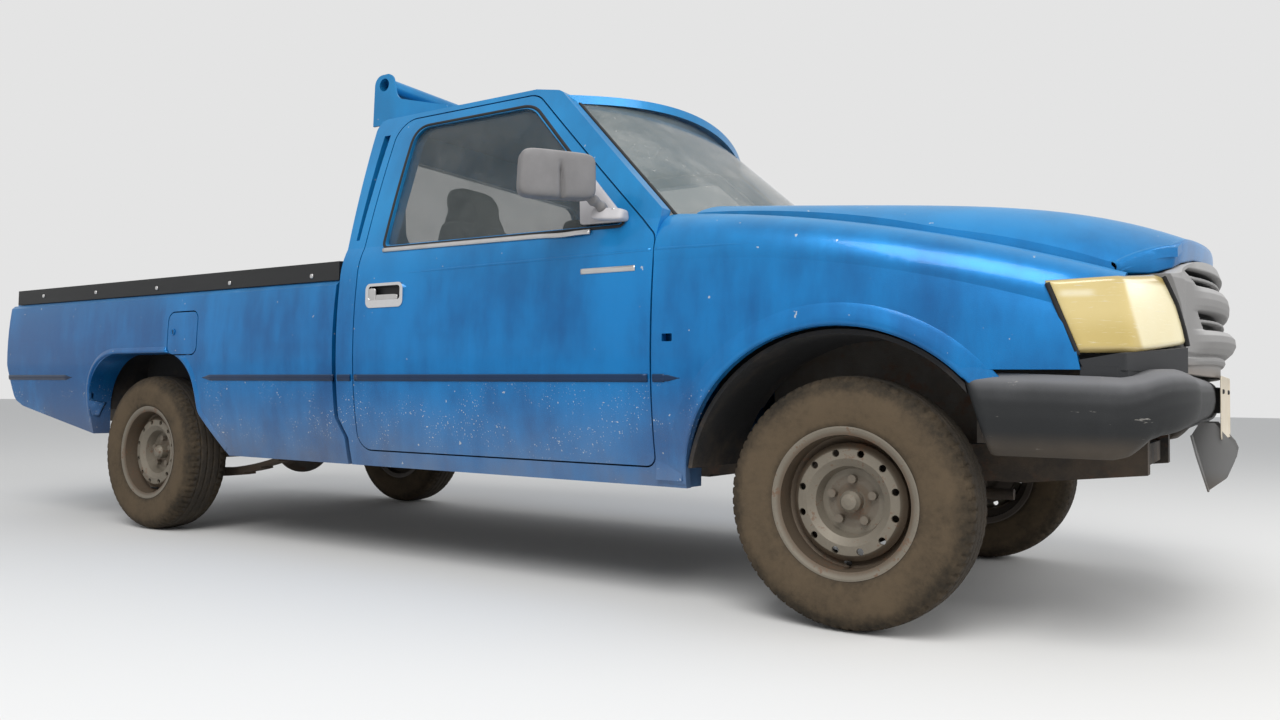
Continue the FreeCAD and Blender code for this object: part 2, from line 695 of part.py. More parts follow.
def front_guard():
    """Two sheet brackets that hang under the middle of the bumper, each bent outward at its rear edge."""
    z, k, bend_y = bumper_low, 4.0, 150.0
    cheek = [(front_x - 104, z + 44), (front_x - 85, z + 78 - seat_gap), (front_x - 50, z + 78 - seat_gap),
             (front_x - 8, z + 24), (front_x, z + 4), (front_x - 5, z - 22), (front_x - 23, z - 67, 20),
             (front_x - 67, z - 104)]
    cheek = slab(cheek, "xz", -bend_y, -bend_y + k)
    flange = [(front_x - 104, z + 44), (front_x - 104 + k, z + 44), (front_x - 67 + k, z - 104),
              (front_x - 67, z - 104)]
    flange = slab(flange, "xz", -bend_y - 90, -bend_y + k)
    edge = [(-bend_y + k, z + 50), (-bend_y - 70, z + 50), (-bend_y - 90, z - 10, 20), (-bend_y - 30, z - 110),
            (-bend_y + k, z - 110)]
    return both(cheek.fuse(flange.common(slab(edge, "yz", front_x - 150, front_x))).removeSplitter())


inner_wing_skin = 14.0
tunnel_half = waist_half - 33    # outer edge of the tunnels over the front wheels


def front_structure():
    """Radiator panel and, each side, the inner wing with the tunnel over the front wheel."""
    x0 = firewall_x + firewall_thickness + seat_gap
    radiator = box(front_axle_x + 560, front_axle_x + 600, -inner_wing_y, inner_wing_y,
                   frame_low_z + rail_depth + 30 + seat_gap, belt_z - 125)
    half, low, high = inner_wing_y - 170, frame_low_z + rail_depth + 45, belt_z - 155
    opening = slab([(-half, low, 30), (half, low, 30), (half, high, 30), (-half, high, 30)],
                   "yz", front_axle_x + 500, front_axle_x + 700)
    radiator = radiator.cut(opening)
    parts = [radiator]
    low = hub_z + 235
    wall_side = [(x0, low), (front_axle_x + 560, low), (front_axle_x + 560, belt_z - 125), (front_axle_x, belt_z),
                 (x0, belt_z + 45)]
    web = slab(wall_side, "xz", -inner_wing_y, -inner_wing_y + inner_wing_skin)
    radius, skin = arch_radius - 6, 12.0
    tunnel = ring((arch_centre_x, -(inner_wing_y + tunnel_half) / 2, arch_centre_z), (0, 1, 0), radius, radius - skin,
                  tunnel_half - inner_wing_y)
    tunnel = tunnel.cut(box(front_axle_x - 600, front_axle_x + 600, -beyond, 0, -200, arch_centre_z + 60))
    tunnel = tunnel.cut(bumper_space())
    hole = Part.makeCylinder(radius - skin, 400, V(arch_centre_x, -inner_wing_y - 200, arch_centre_z), V(0, 1, 0))
    half = fused(web.cut(hole), tunnel)
    parts += [half, mirrored(half)]
    return fused(*parts)


# Load bed
bed_rail_z = belt_z + 61.0
bed_floor_z = crease_z - 10.0
bed_inner_half = door_inner_half
bed_wall_front = 42.0
gate_thickness = 56.0
rear_arch_radius = tyre_radius + 90.0
rear_arch_top = hub_z + 417.0
tail_rise = 140.0       # how far the side's lower edge climbs behind the rear arch
wheel_box_half = bed_inner_half - 190.0
wheel_box_z = hub_z + 481.0
wheel_box_skin = 16.0


def bed_side():
    section = side_line(0, "belt")
    section = section[:-1] + [(-belt_half + 2, belt_z - 14), (-belt_half + 16, belt_z), (-belt_half + 30, belt_z),
                              (-belt_half + 30, bed_rail_z), (-bed_inner_half, bed_rail_z), (-bed_inner_half, sill_z)]
    whole = slab(section, "yz", rear_x, bed_front_x + corner_tuck)
    edge = [
        (bed_front_x, bed_rail_z + 10), (rear_x, bed_rail_z + 10), (rear_x, crease_z + 60, 60),
        (rear_x + 60, sill_z + tail_rise + 60, 60), (rear_x + 130, sill_z + tail_rise + 30, 40),
        (rear_axle_x - 330, sill_z + 42), (rear_axle_x - 200, sill_z - 5), (bed_front_x + corner_tuck, sill_z - 5),
        (bed_front_x + corner_tuck, tuck_low_z, 30), (bed_front_x, tuck_top_z, 30),
    ]
    whole = whole.common(slab(edge, "xz", -beyond, 0))
    rear_edge, front_edge = rear_axle_x - rear_arch_radius, rear_axle_x + tyre_radius + 60
    arch = [(rear_edge + 14, sill_z - 60), (front_edge + 235, sill_z - 60), (front_edge + 15, hub_z + 175, 60),
            (front_edge - 15, rear_arch_top, 205), (rear_edge, rear_arch_top, 235)]
    whole = whole.cut(slab(arch, "xz", -beyond, -wheel_box_half))
    return max(whole.Solids, key=lambda s: s.Volume)


fuel_flap_x = rear_axle_x + 305
fuel_flap_z = belt_z - 165.0
fuel_flap_length = 196.0
fuel_flap_height = 170.0
fuel_pocket_depth = 60.0
fuel_flap_skin = 11.0


def flap_shape():
    x0, x1 = fuel_flap_x - fuel_flap_length / 2, fuel_flap_x + fuel_flap_length / 2
    z0, z1 = fuel_flap_z - fuel_flap_height / 2, fuel_flap_z + fuel_flap_height / 2
    return [(x0, z0, 34), (x1, z0, 34), (x1, z1, 34), (x0, z1, 34)]


def bed_floor():
    """Floor with cross sills, front wall and the boxes over the rear wheels."""
    x0, x1 = rear_x + gate_thickness + 14, bed_front_x
    skin = 26.0
    inner = bed_inner_half
    floor = box(x0, x1, -inner, inner, bed_floor_z - skin, bed_floor_z)
    front = box(x1 - bed_wall_front, x1, -inner, inner, bed_floor_z - 5, bed_rail_z)
    parts = [floor, front]
    for x in (x1 - 260, x1 - 900, rear_axle_x + 60, rear_axle_x - 560, x0 + 90):
        parts.append(box(x - 40, x + 40, -inner, inner, frame_high_z, bed_floor_z - skin + 1))
    whole = fused(*parts)
    x0, x1 = rear_axle_x - rear_arch_radius - 16, rear_axle_x + 400
    for side in (-1, 1):
        y0, y1 = sorted((side * wheel_box_half, side * inner))
        outer = slab([(x0, bed_floor_z - 130), (x1, bed_floor_z - 130), (x1, wheel_box_z, 130),
                      (x0, wheel_box_z, 130)], "xz", y0, y1)
        k = wheel_box_skin
        z0, z1 = sorted((side * (wheel_box_half + k), side * (inner + 50)))
        space = slab([(x0 + k, bed_floor_z - 400), (x1 - k, bed_floor_z - 400), (x1 - k, wheel_box_z - k, 115),
                      (x0 + k, wheel_box_z - k, 115)], "xz", z0, z1)
        whole = whole.fuse(outer).cut(space)
    return whole.removeSplitter()


liner_skin = 8.0


def bed_liner():
    """Moulded plastic tray with ribs on its floor, and a lip over the rail that shows outside."""
    k, g = liner_skin, seat_gap
    x0, x1 = rear_x + gate_thickness + 22, bed_front_x - bed_wall_front - g
    inner = bed_inner_half - g
    outer = box(x0, x1, -inner, inner, bed_floor_z + g, bed_rail_z + g + 1)
    space = box(x0 - 10, x1 - k, -inner + k, inner - k, bed_floor_z + g + k, bed_rail_z + 50)
    tray = outer.cut(space)
    lip_out = belt_half - 30 + g
    parts = []
    for side in (-1, 1):
        section = [(side * (inner - k), bed_rail_z + g), (side * (inner - k), bed_rail_z + g + k + 12),
                   (side * (lip_out + k + 6), bed_rail_z + g + k + 4), (side * (lip_out + k + 6), belt_z + 6),
                   (side * lip_out, belt_z + 6), (side * lip_out, bed_rail_z + g)]
        parts.append(slab(section, "yz", rear_x + 30, bed_front_x - 4))
    wells = []
    bx0, bx1 = rear_axle_x - rear_arch_radius - 16, rear_axle_x + 400
    for side in (-1, 1):
        y0, y1 = sorted((side * (wheel_box_half - g - k), side * inner))
        wells.append(slab([(bx0 - g - k, bed_floor_z + g), (bx1 + g + k, bed_floor_z + g),
                           (bx1 + g + k, wheel_box_z + g + k, 138), (bx0 - g - k, wheel_box_z + g + k, 138)],
                          "xz", y0, y1))
    ribs = []
    pitch, rib_half = 118.0, 26.0
    for i in range(-4, 5):
        ribs.append(box(x0 + 20, x1 - k, i * pitch - rib_half, i * pitch + rib_half,
                        bed_floor_z + g + k - 1, bed_floor_z + g + k + 10))
    whole = fused(tray, *parts, *wells, *ribs)
    for side in (-1, 1):
        y0, y1 = sorted((side * (wheel_box_half - g), side * (inner + 60)))
        whole = whole.cut(slab([(bx0 - g, bed_floor_z - 60), (bx1 + g, bed_floor_z - 60),
                                (bx1 + g, wheel_box_z + g, 130), (bx0 - g, wheel_box_z + g, 130)], "xz", y0, y1))
    return whole


gate_pivot = (rear_x + gate_thickness / 2, bed_floor_z - 23.0)
gate_half = bed_inner_half - 35.0


def tailgate():
    """Drop-down gate, turning about its lower edge, with a pressed panel and its handle recess."""
    low = gate_pivot[1] - gate_thickness / 2
    x0, x1 = rear_x, rear_x + gate_thickness
    section = [(x0, low, gate_thickness / 2 - 1), (x1, low, gate_thickness / 2 - 1), (x1, bed_rail_z),
               (x0, bed_rail_z, 16)]
    gate = slab(section, "xz", -gate_half + shut_gap, gate_half - shut_gap)
    side, bottom, top = gate_half - 140, bed_floor_z + 60, bed_rail_z - 86
    panel = [(-side, bottom, 40), (side, bottom, 40), (side, top, 40), (-side, top, 40)]
    gate = gate.cut(slab(panel, "yz", x0 - 5, x0 + 8))
    bottom, top = bed_rail_z - 74, bed_rail_z - 28
    recess = [(-75, bottom, 12), (75, bottom, 12), (75, top, 12), (-75, top, 12)]
    return gate.cut(slab(recess, "yz", x0 - 5, x0 + 22))


lamp_depth = 12.0
tail_lamp_low = bed_floor_z + 42
tail_lamp_high = belt_z - 17
lamp_face = [
    (-bed_inner_half - 60, tail_lamp_low, 12), (-gate_half - 4, tail_lamp_low, 12),
    (-gate_half - 4, tail_lamp_high, 12), (-bed_inner_half - 60, tail_lamp_high, 12),
]


def tail_posts():
    """Upright corner posts that hold the tail lamps and the gate's pivots."""
    post = box(rear_x + lamp_depth, rear_x + gate_thickness + 14, -bed_inner_half - 1, -gate_half,
               crease_z - 150, bed_rail_z)
    x, z = gate_pivot
    return post.fuse(rod((x, -gate_half - 1, z), (x, -gate_half + shut_gap - seat_gap, z), 10))


def tail_lamps():
    return both(slab(lamp_face, "yz", rear_x, rear_x + lamp_depth - seat_gap))


# Ladder frame and what hangs on it
rail_y = wheel_y - 315.0
rail_width = 64.0
frame_low_z = floor_z - 155.0
frame_high_z = bed_floor_z - 90.0
rail_depth = 110.0
front_rail_y = rail_y - 60.0
gearbox_low_z = frame_low_z + 27.0
mount_radius = 36.0


def rail_side():
    """Side view of one rail: level under the cab, up over the rear axle, up again to the bumper."""
    low, up = frame_low_z, frame_high_z - rail_depth
    kick0, kick1 = rear_axle_x + 720, rear_axle_x + 420
    return [
        (front_axle_x + 650, low + 60), (front_axle_x + 350, low + 25), (front_axle_x - 350, low + 25),
        (front_axle_x - 560, low), (kick0, low), (kick1, up, 200), (rear_x + 150, up),
        (rear_x + 150, frame_high_z), (kick1, frame_high_z, 200), (kick0, low + rail_depth),
        (front_axle_x - 560, low + rail_depth), (front_axle_x - 350, low + 25 + rail_depth - 10),
        (front_axle_x + 350, low + 25 + rail_depth - 10), (front_axle_x + 650, low + 60 + rail_depth - 30),
    ]


def frame():
    """Two box rails that draw in at the front, cross members and the rubber cab mounts."""
    half = rail_width / 2
    plan = [(front_axle_x + 700, -front_rail_y - half), (front_axle_x - 380, -front_rail_y - half),
            (front_axle_x - 620, -rail_y - half), (rear_x + 140, -rail_y - half), (rear_x + 140, -rail_y + half),
            (front_axle_x - 620, -rail_y + half), (front_axle_x - 380, -front_rail_y + half),
            (front_axle_x + 700, -front_rail_y + half)]
    rail = slab(rail_side(), "xz", -rail_y - half - 20, -front_rail_y + half + 20)
    rail = rail.common(slab(plan, "xy", frame_low_z - 145, frame_high_z + 160))
    parts = [rail, mirrored(rail)]
    low = frame_low_z
    for x, half_length, z0, z1, reach in (
            (front_axle_x + 600, 28, low + 70, low + 130, front_rail_y),
            (front_axle_x - 10, 70, low - 110, low + 30, front_rail_y),
            (front_axle_x - 640, 45, low - 10, gearbox_low_z - seat_gap, rail_y),
            (bed_front_x + 120, 45, low + 85, low + rail_depth, rail_y),
            (rear_axle_x + 300, 35, frame_high_z - 50, frame_high_z, rail_y),
            (rear_axle_x - 420, 35, frame_high_z - 50, frame_high_z, rail_y),
            (rear_x + 180, 30, frame_high_z - 50, frame_high_z, rail_y)):
        parts.append(box(x - half_length, x + half_length, -reach, reach, z0, z1))
    under_floor = floor_z - floor_thickness
    for x in (door_front_x - 120, cab_back_x + 150):
        for side in (-1, 1):
            parts.append(Part.makeCylinder(mount_radius, under_floor - low - rail_depth + 5,
                                           V(x, side * rail_y, low + rail_depth - 5)))
    for side in (-1, 1):
        y0, y1 = sorted((side * (front_rail_y - half), side * (front_rail_y + half)))
        arm = box(front_axle_x + 610, front_x, y0, y1, bumper_low + 82, bumper_low + 140)
        arm = arm.common(slab(bumper_plan(bumper_depth + seat_gap), "xy", bumper_low, bumper_high))
        parts += [arm, box(front_axle_x + 610, front_axle_x + 650, y0, y1, low + 100, bumper_low + 140)]
    return fused(*parts)


spring_y = wheel_y - 195.0
spring_front_x = rear_axle_x + 640
spring_rear_x = rear_axle_x - 620
spring_width = 60.0
leaf_thickness = 9.0


def leaf_springs():
    """A bowed pack of leaves each side, its front hanger and its rear shackle."""
    x0, x1 = spring_front_x, spring_rear_x
    eye0, eye1 = frame_low_z + 6, frame_low_z + 30
    dip = hub_z - 74
    y0, y1 = -spring_y - spring_width / 2, -spring_y + spring_width / 2
    parts = []
    bow = Part.Circle(V(x0, 0, eye0), V(rear_axle_x, 0, dip), V(x1, 0, eye1))
    cx, cz, radius = bow.Center.x, bow.Center.z, bow.Radius

    def spot(x, r):
        """Point of the circle of radius r about the bow's centre that is in line with the bow's point at x."""
        angle = math.asin((x - cx) / radius)
        return cx + r * math.sin(angle), cz - r * math.cos(angle)
    for i, cut in enumerate((0.0, 0.16, 0.34, 0.52)):
        front = x0 + (rear_axle_x - x0) * cut
        rear = x1 + (rear_axle_x - x1) * cut
        top, low = radius + i * leaf_thickness, radius + (i + 1) * leaf_thickness
        middle = (front + rear) / 2
        leaf = [spot(front, top), ("via",) + spot(middle, top), spot(rear, top), spot(rear, low),
                ("via",) + spot(middle, low), spot(front, low)]
        parts.append(slab(leaf, "xz", y0, y1))
    for x, z in ((x0, eye0 - 4), (x1, eye1 - 4)):
        parts.append(rod((x, y0, z), (x, y1, z), 22))
    rail_face = -rail_y - rail_width / 2
    hanger = slab([(x0 - 30, eye0 - 34, 20), (x0 + 34, eye0 - 34, 20), (x0 + 50, frame_low_z + 100),
                   (x0 - 60, frame_low_z + 100)], "xz", y0 - 8, rail_face)
    hanger = hanger.cut(box(x0 - 29, x0 + 33, y0 - 0.5, y1 + 0.5, eye0 - 60, eye0 + 26))
    shackle = slab([(x1 - 22, eye1 - 26, 16), (x1 + 22, eye1 - 26, 16), (x1 + 16, frame_high_z - 60, 12),
                    (x1 - 28, frame_high_z - 60, 12)], "xz", y1 - 1, rail_face)
    parts += [hanger, shackle]
    plate = box(rear_axle_x - 62, rear_axle_x + 62, y0 - 6, y1 + 6, dip - 4 * leaf_thickness - 16,
                dip - 4 * leaf_thickness + 3)
    saddle = box(rear_axle_x - 50, rear_axle_x + 50, y0, y1, dip - 4, hub_z - 37 - seat_gap)
    return both(fused(*parts, plate, saddle))


def rear_axle():
    """Tube with the round differential housing in its middle and a brake plate at each end."""
    reach = wheel_y - 78
    tube = rod((rear_axle_x, -reach, hub_z), (rear_axle_x, reach, hub_z), 37)
    ball = Part.makeSphere(128, V(rear_axle_x, 0, hub_z)).common(
        box(rear_axle_x - 200, rear_axle_x + 200, -92, 92, hub_z - 200, hub_z + 200))
    nose = Part.makeCone(82, 52, 110, V(rear_axle_x + 90, 0, hub_z), V(1, 0, 0))
    parts = [tube, ball, nose]
    for side in (-1, 1):
        parts.append(rod((rear_axle_x, side * reach, hub_z), (rear_axle_x, side * (reach + 10), hub_z), 126))
        parts.append(rod((rear_axle_x, side * reach, hub_z), (rear_axle_x, side * (wheel_y - 30.5), hub_z), 24))
    return fused(*parts)


kingpin_y = wheel_y - 60.0
knuckle_half = 92.0
steer_arm_x = front_axle_x - 115
steer_arm_y = kingpin_y - 26
steer_arm_z = hub_z - 56


def knuckle():
    """Upright on the steering axis with its spindle, brake plate and steering arm."""
    x = front_axle_x
    post = rod((x, -kingpin_y, hub_z - knuckle_half), (x, -kingpin_y, hub_z + knuckle_half), 24)
    spindle = rod((x, -kingpin_y, hub_z), (x, -wheel_y + 30.5, hub_z), 22)
    arm = slab([(x - 10, -kingpin_y + 18), (x + 10, -kingpin_y - 18), (steer_arm_x - 3, -steer_arm_y - 14, 8),
                (steer_arm_x - 13, -steer_arm_y + 18, 8)], "xy", steer_arm_z - 9, steer_arm_z + 9)
    end = rod((steer_arm_x, -steer_arm_y, steer_arm_z - 12), (steer_arm_x, -steer_arm_y, steer_arm_z + 12), 17)
    return fused(post, spindle, arm, end)


def front_suspension():
    """Upper and lower arms each side with their ball joints, and the dampers."""
    x = front_axle_x
    rail_out = front_rail_y + rail_width / 2 + seat_gap
    parts = []
    for z, inner_y, inner_z, spread, radius in (
            (hub_z - knuckle_half - 17, front_rail_y + 19 + seat_gap, hub_z - 53, 150, 19),
            (hub_z + knuckle_half + 17, rail_out + 19, hub_z + 115, 110, 19)):
        ball = rod((x, -kingpin_y, z - 16.5), (x, -kingpin_y, z + 16.5), 24)
        for side in (-1, 1):
            ball = ball.fuse(rod((x + side * 12, -kingpin_y + 14, z), (x + side * spread, -inner_y, inner_z), 15))
        pivot = rod((x - spread - 30, -inner_y, inner_z), (x + spread + 30, -inner_y, inner_z), radius)
        parts.append(fused(ball, pivot))
    low, high = parts
    damper_y = kingpin_y - 155
    pad = box(x - 86, x + 86, -damper_y - 20, -damper_y + 22, hub_z - 87, hub_z - 61)
    tube = rod((x, -damper_y, hub_z - 69), (x, -damper_y + 30, hub_z + 235), 23)
    tower = box(x - 30, x + 30, -damper_y, -front_rail_y + 10, hub_z + 215, hub_z + 241)
    leg = box(x - 30, x + 30, -rail_out - 30, -rail_out, hub_z + 75, hub_z + 225)
    side = fused(low, pad, tube, tower, leg, high)
    return both(side)


rack_z = frame_low_z - 27.0
track_rod_end = kingpin_y - 140.0


def steering_rack():
    """Rack housing behind the front cross member, with a gaiter and a track rod towards each front wheel."""
    rack_x = front_axle_x - 80 - seat_gap - 30
    parts = [rod((rack_x, -240, rack_z), (rack_x, 240, rack_z), 30)]
    for side in (-1, 1):
        parts.append(Part.makeCone(30, 15, 130, V(rack_x, side * 240, rack_z), V(0, side, 0)))
        parts.append(rod((rack_x, side * 360, rack_z), (rack_x, side * track_rod_end, rack_z - 12), 9))
    return fused(*parts)


engine_length = 640.0
engine_half = front_rail_y - 90.0


def engine():
    """Plain block of the engine's size and place."""
    x0 = firewall_x + firewall_thickness + 70
    x1, low, high = x0 + engine_length, frame_low_z + 75, belt_z - 25
    return slab([(x0, low), (x1, low), (x1, high - 60, 40), (x0 + 60, high, 40), (x0, high)],
                "xz", -engine_half, engine_half)


def driveline():
    """Gearbox under the floor tunnel, propeller shaft and its joints."""
    x0 = firewall_x + firewall_thickness + 70
    bell = Part.makeCone(105, 150, 64, V(x0 - 64, 0, gearbox_low_z + 88), V(1, 0, 0))
    box_part = box(x0 - 620, x0 - 60, -82, 82, gearbox_low_z, gearbox_low_z + 94)
    nose = (rear_axle_x + 204, 0, hub_z)
    shaft = rod((x0 - 620, 0, gearbox_low_z + 46), nose, 36)
    return fused(bell, box_part, shaft)


def exhaust():
    """Pipe from the engine's left side, with its silencer under the cab and a bend over the rear axle."""
    x0, y0 = firewall_x + 180, engine_half + 30
    level, over, radius = frame_low_z + 55, hub_z + 161, 22.0
    silencer_y, silencer_x = engine_half + 37, bed_front_x - 60
    flange = box(x0 - 45, x0 + 45, engine_half + seat_gap, y0 + 24, level + 100, level + 160)
    route = [(x0, y0, level + 105), (x0 - 90, y0, level), (x0 - 360, y0 + 20, level), (bed_front_x + 300, y0 + 20, level),
             (rear_axle_x + 430, y0 + 20, level), (rear_axle_x + 150, y0 + 10, over),
             (rear_axle_x - 250, y0 + 10, over), (rear_axle_x - 480, y0 + 20, level), (rear_x + 90, y0 + 20, level)]
    parts = [flange]
    for a, b in zip(route, route[1:]):
        parts += [rod(a, b, radius), Part.makeSphere(radius, V(*b))]
    parts.pop()
    low, high = level - 70, level + 24
    parts.append(slab([(silencer_y - 75, low, 44), (silencer_y + 75, low, 44), (silencer_y + 75, high, 44),
                       (silencer_y - 75, high, 44)], "yz", silencer_x, silencer_x + 425))
    hang_x = bed_front_x + 120
    parts.append(box(hang_x - 10, hang_x + 10, silencer_y - 12, silencer_y + 12, high - 5,
                     frame_low_z + 85 - seat_gap))
    parts.append(rod((rear_x + 180, y0 + 20, level), (rear_x + 180, y0 + 20, frame_high_z - 50 - seat_gap), 6))
    return fused(*parts)


fuel_tank_length = 520.0


def fuel_tank():
    """Tank outboard of the right rail, ahead of the spring, hung from the rail by two brackets."""
    inner, outer = -rail_y - mount_radius - 8, -wheel_y + 25
    low, high = frame_low_z + 5, floor_z - floor_thickness - 20
    start = spring_front_x + 70
    tank = slab([(outer, low, 30), (inner, low, 30), (inner, high, 20), (outer, high, 30)],
                "yz", start, start + fuel_tank_length)
    brackets = [box(x, x + 40, inner - 2, -rail_y - rail_width / 2 - seat_gap, low + 40, low + 70)
                for x in (start + 60, start + fuel_tank_length - 100)]
    return fused(tank, *brackets)


roof_bar_x = cab_back_x - 72
roof_bar_z = roof_edge_z + 158.0
roof_bar_radius = 29.0
roof_bar_half = roof_half - 50.0


def roof_bar(roof):
    """Open tube across the rear of the roof on two shaped side plates, which stand on the roof's curve."""
    tube = ring((roof_bar_x, 0, roof_bar_z), (0, 1, 0), roof_bar_radius, roof_bar_radius - 4, roof_bar_half * 2)
    hole = Part.makeCylinder(roof_bar_radius - 4, roof_bar_half * 2, V(roof_bar_x, -roof_bar_half, roof_bar_z),
                             V(0, 1, 0))
    x = roof_bar_x
    plate_points = [
        (x - 56, roof_edge_z + 3), (x + 330, roof_edge_z + 3), (x + 330, roof_edge_z + 30, 8),
        (x + 70, roof_bar_z - 62, 50), (x + 44, roof_bar_z + 40, 36), (x - 50, roof_bar_z + 40, 40),
    ]
    plates = []
    for side in (-1, 1):
        y0, y1 = sorted((side * (roof_bar_half - 8), side * roof_bar_half))
        plates.append(slab(plate_points, "xz", y0, y1))
    return fused(tube, *plates).cut(hole).cut(roof.translated(V(0, 0, seat_gap)))


def wipers():
    """Two arms with their blades, parked along the bottom of the windscreen."""
    def bow(y):
        return bonnet_rear_x + bonnet_rear_bow * (1 - (y / bonnet_rows[0][1]) ** 2)
    parts = []
    for pivot_y, tip_y in ((30.0, -520.0), (560.0, 60.0)):
        x, middle_y = bow(pivot_y) - 10, (pivot_y + tip_y) / 2
        elbow = (bow(middle_y) - 34, middle_y, cowl_z + 26)
        pivot = rod((x, pivot_y, cowl_z + seat_gap), (x, pivot_y, cowl_z + 16), 9)
        knee = Part.makeSphere(6.5, V(*elbow))
        arm = [rod((x, pivot_y, cowl_z + 9), elbow, 5), knee, rod(elbow, (bow(tip_y) - 38, tip_y, cowl_z + 46), 5)]
        inner_y, outer_y = middle_y + 60, tip_y - 90
        blade = rod((bow(inner_y) - 26, inner_y, cowl_z + 34), (bow(outer_y) - 22, outer_y, cowl_z + 42), 6)
        parts.append(fused(pivot, blade, *arm))
    return Part.makeCompound(parts)


# Wheels
rim_radius = 195.0
bead_radius = rim_radius - 17.0
well_radius = bead_radius - 24.0
rim_half = tyre_width / 2 - 10.0
vent_count = 12
vent_radius = 9.5
vent_circle = 128.0
nut_count = 5
nut_circle = 57.15
nut_radius = 11.0


def turned(x, y, profile):
    """Ring or disc about a wheel's axle from points (along Y, radius)."""
    wire = Part.makePolygon([V(x, y + a, hub_z + r) for a, r in profile + profile[:1]])
    return Part.Face(wire).revolve(V(x, y, hub_z), V(0, 1, 0), 360)


def wheel(x, sign):
    """Pressed steel wheel: rolled rim, dished disc with round vents, hub cap and wheel nuts."""
    y = sign * wheel_y
    h, bead, well = rim_half, bead_radius, well_radius
    rim = [(-h, rim_radius), (-h + 8, bead), (-h + 38, bead - 3), (-h + 54, well), (4, well), (20, bead - 3),
           (h - 8, bead), (h, rim_radius), (h, rim_radius - 5), (h - 6, bead - 5), (18, bead - 8), (2, well - 5),
           (-h + 52, well - 5), (-h + 36, bead - 8), (-h + 6, bead - 5), (-h, rim_radius - 5)]
    disc = [(-2, well - 2.5), (30, well - 2.5), (46, well - 18), (48, well - 42), (34, well - 62), (2, well - 70),
            (2, 27), (-6, 27), (-6, well - 68), (28, well - 58), (40, well - 42), (38, well - 22),
            (24, well - 11), (-2, well - 11)]
    cap = [(-30, 0), (-30, 28), (30, 28), (41, 20), (44, 9), (44, 0)]
    drum = [(-30, well - 84), (-30, well - 36), (-20, well - 32), (-14, well - 44), (-5, well - 66), (-5, 27),
            (-18, 27), (-18, well - 84)]
    rim, disc, cap, drum = [turned(x, y, [(sign * a, r) for a, r in profile]) for profile in (rim, disc, cap, drum)]
    parts = [disc, cap, drum]
    for i in range(nut_count):
        angle = math.radians(90 + 360.0 / nut_count * i)
        cx, cz = x + nut_circle * math.cos(angle), hub_z + nut_circle * math.sin(angle)
        parts.append(rod((cx, y - sign * 8, cz), (cx, y + sign * 20, cz), nut_radius))
    vents = []
    for i in range(vent_count):
        angle = math.radians(360.0 / vent_count * (i + 0.5))
        cx, cz = x + vent_circle * math.cos(angle), hub_z + vent_circle * math.sin(angle)
        vents.append(rod((cx, y + sign * 24, cz), (cx, y + sign * 60, cz), vent_radius))
    return rim.multiFuse(parts).cut(Part.makeCompound(vents))


def tyre(x, sign):
    """Tyre on the rim's bead seats."""
    w, outer, seat = tyre_width / 2, tyre_radius, bead_radius + seat_gap
    half = [(w - 64, outer), (w - 28, outer - 5), (w - 10, outer - 22), (w, outer - 63), (w - 4, seat + 44),
            (w - 22, seat)]
    inner = [(w - 36, seat + 8), (w - 16, seat + 66), (w - 24, outer - 29)]
    profile = [(-a, r) for a, r in reversed(half)] + half + inner + [(-a, r) for a, r in reversed(inner)]
    return turned(x, sign * wheel_y, profile)


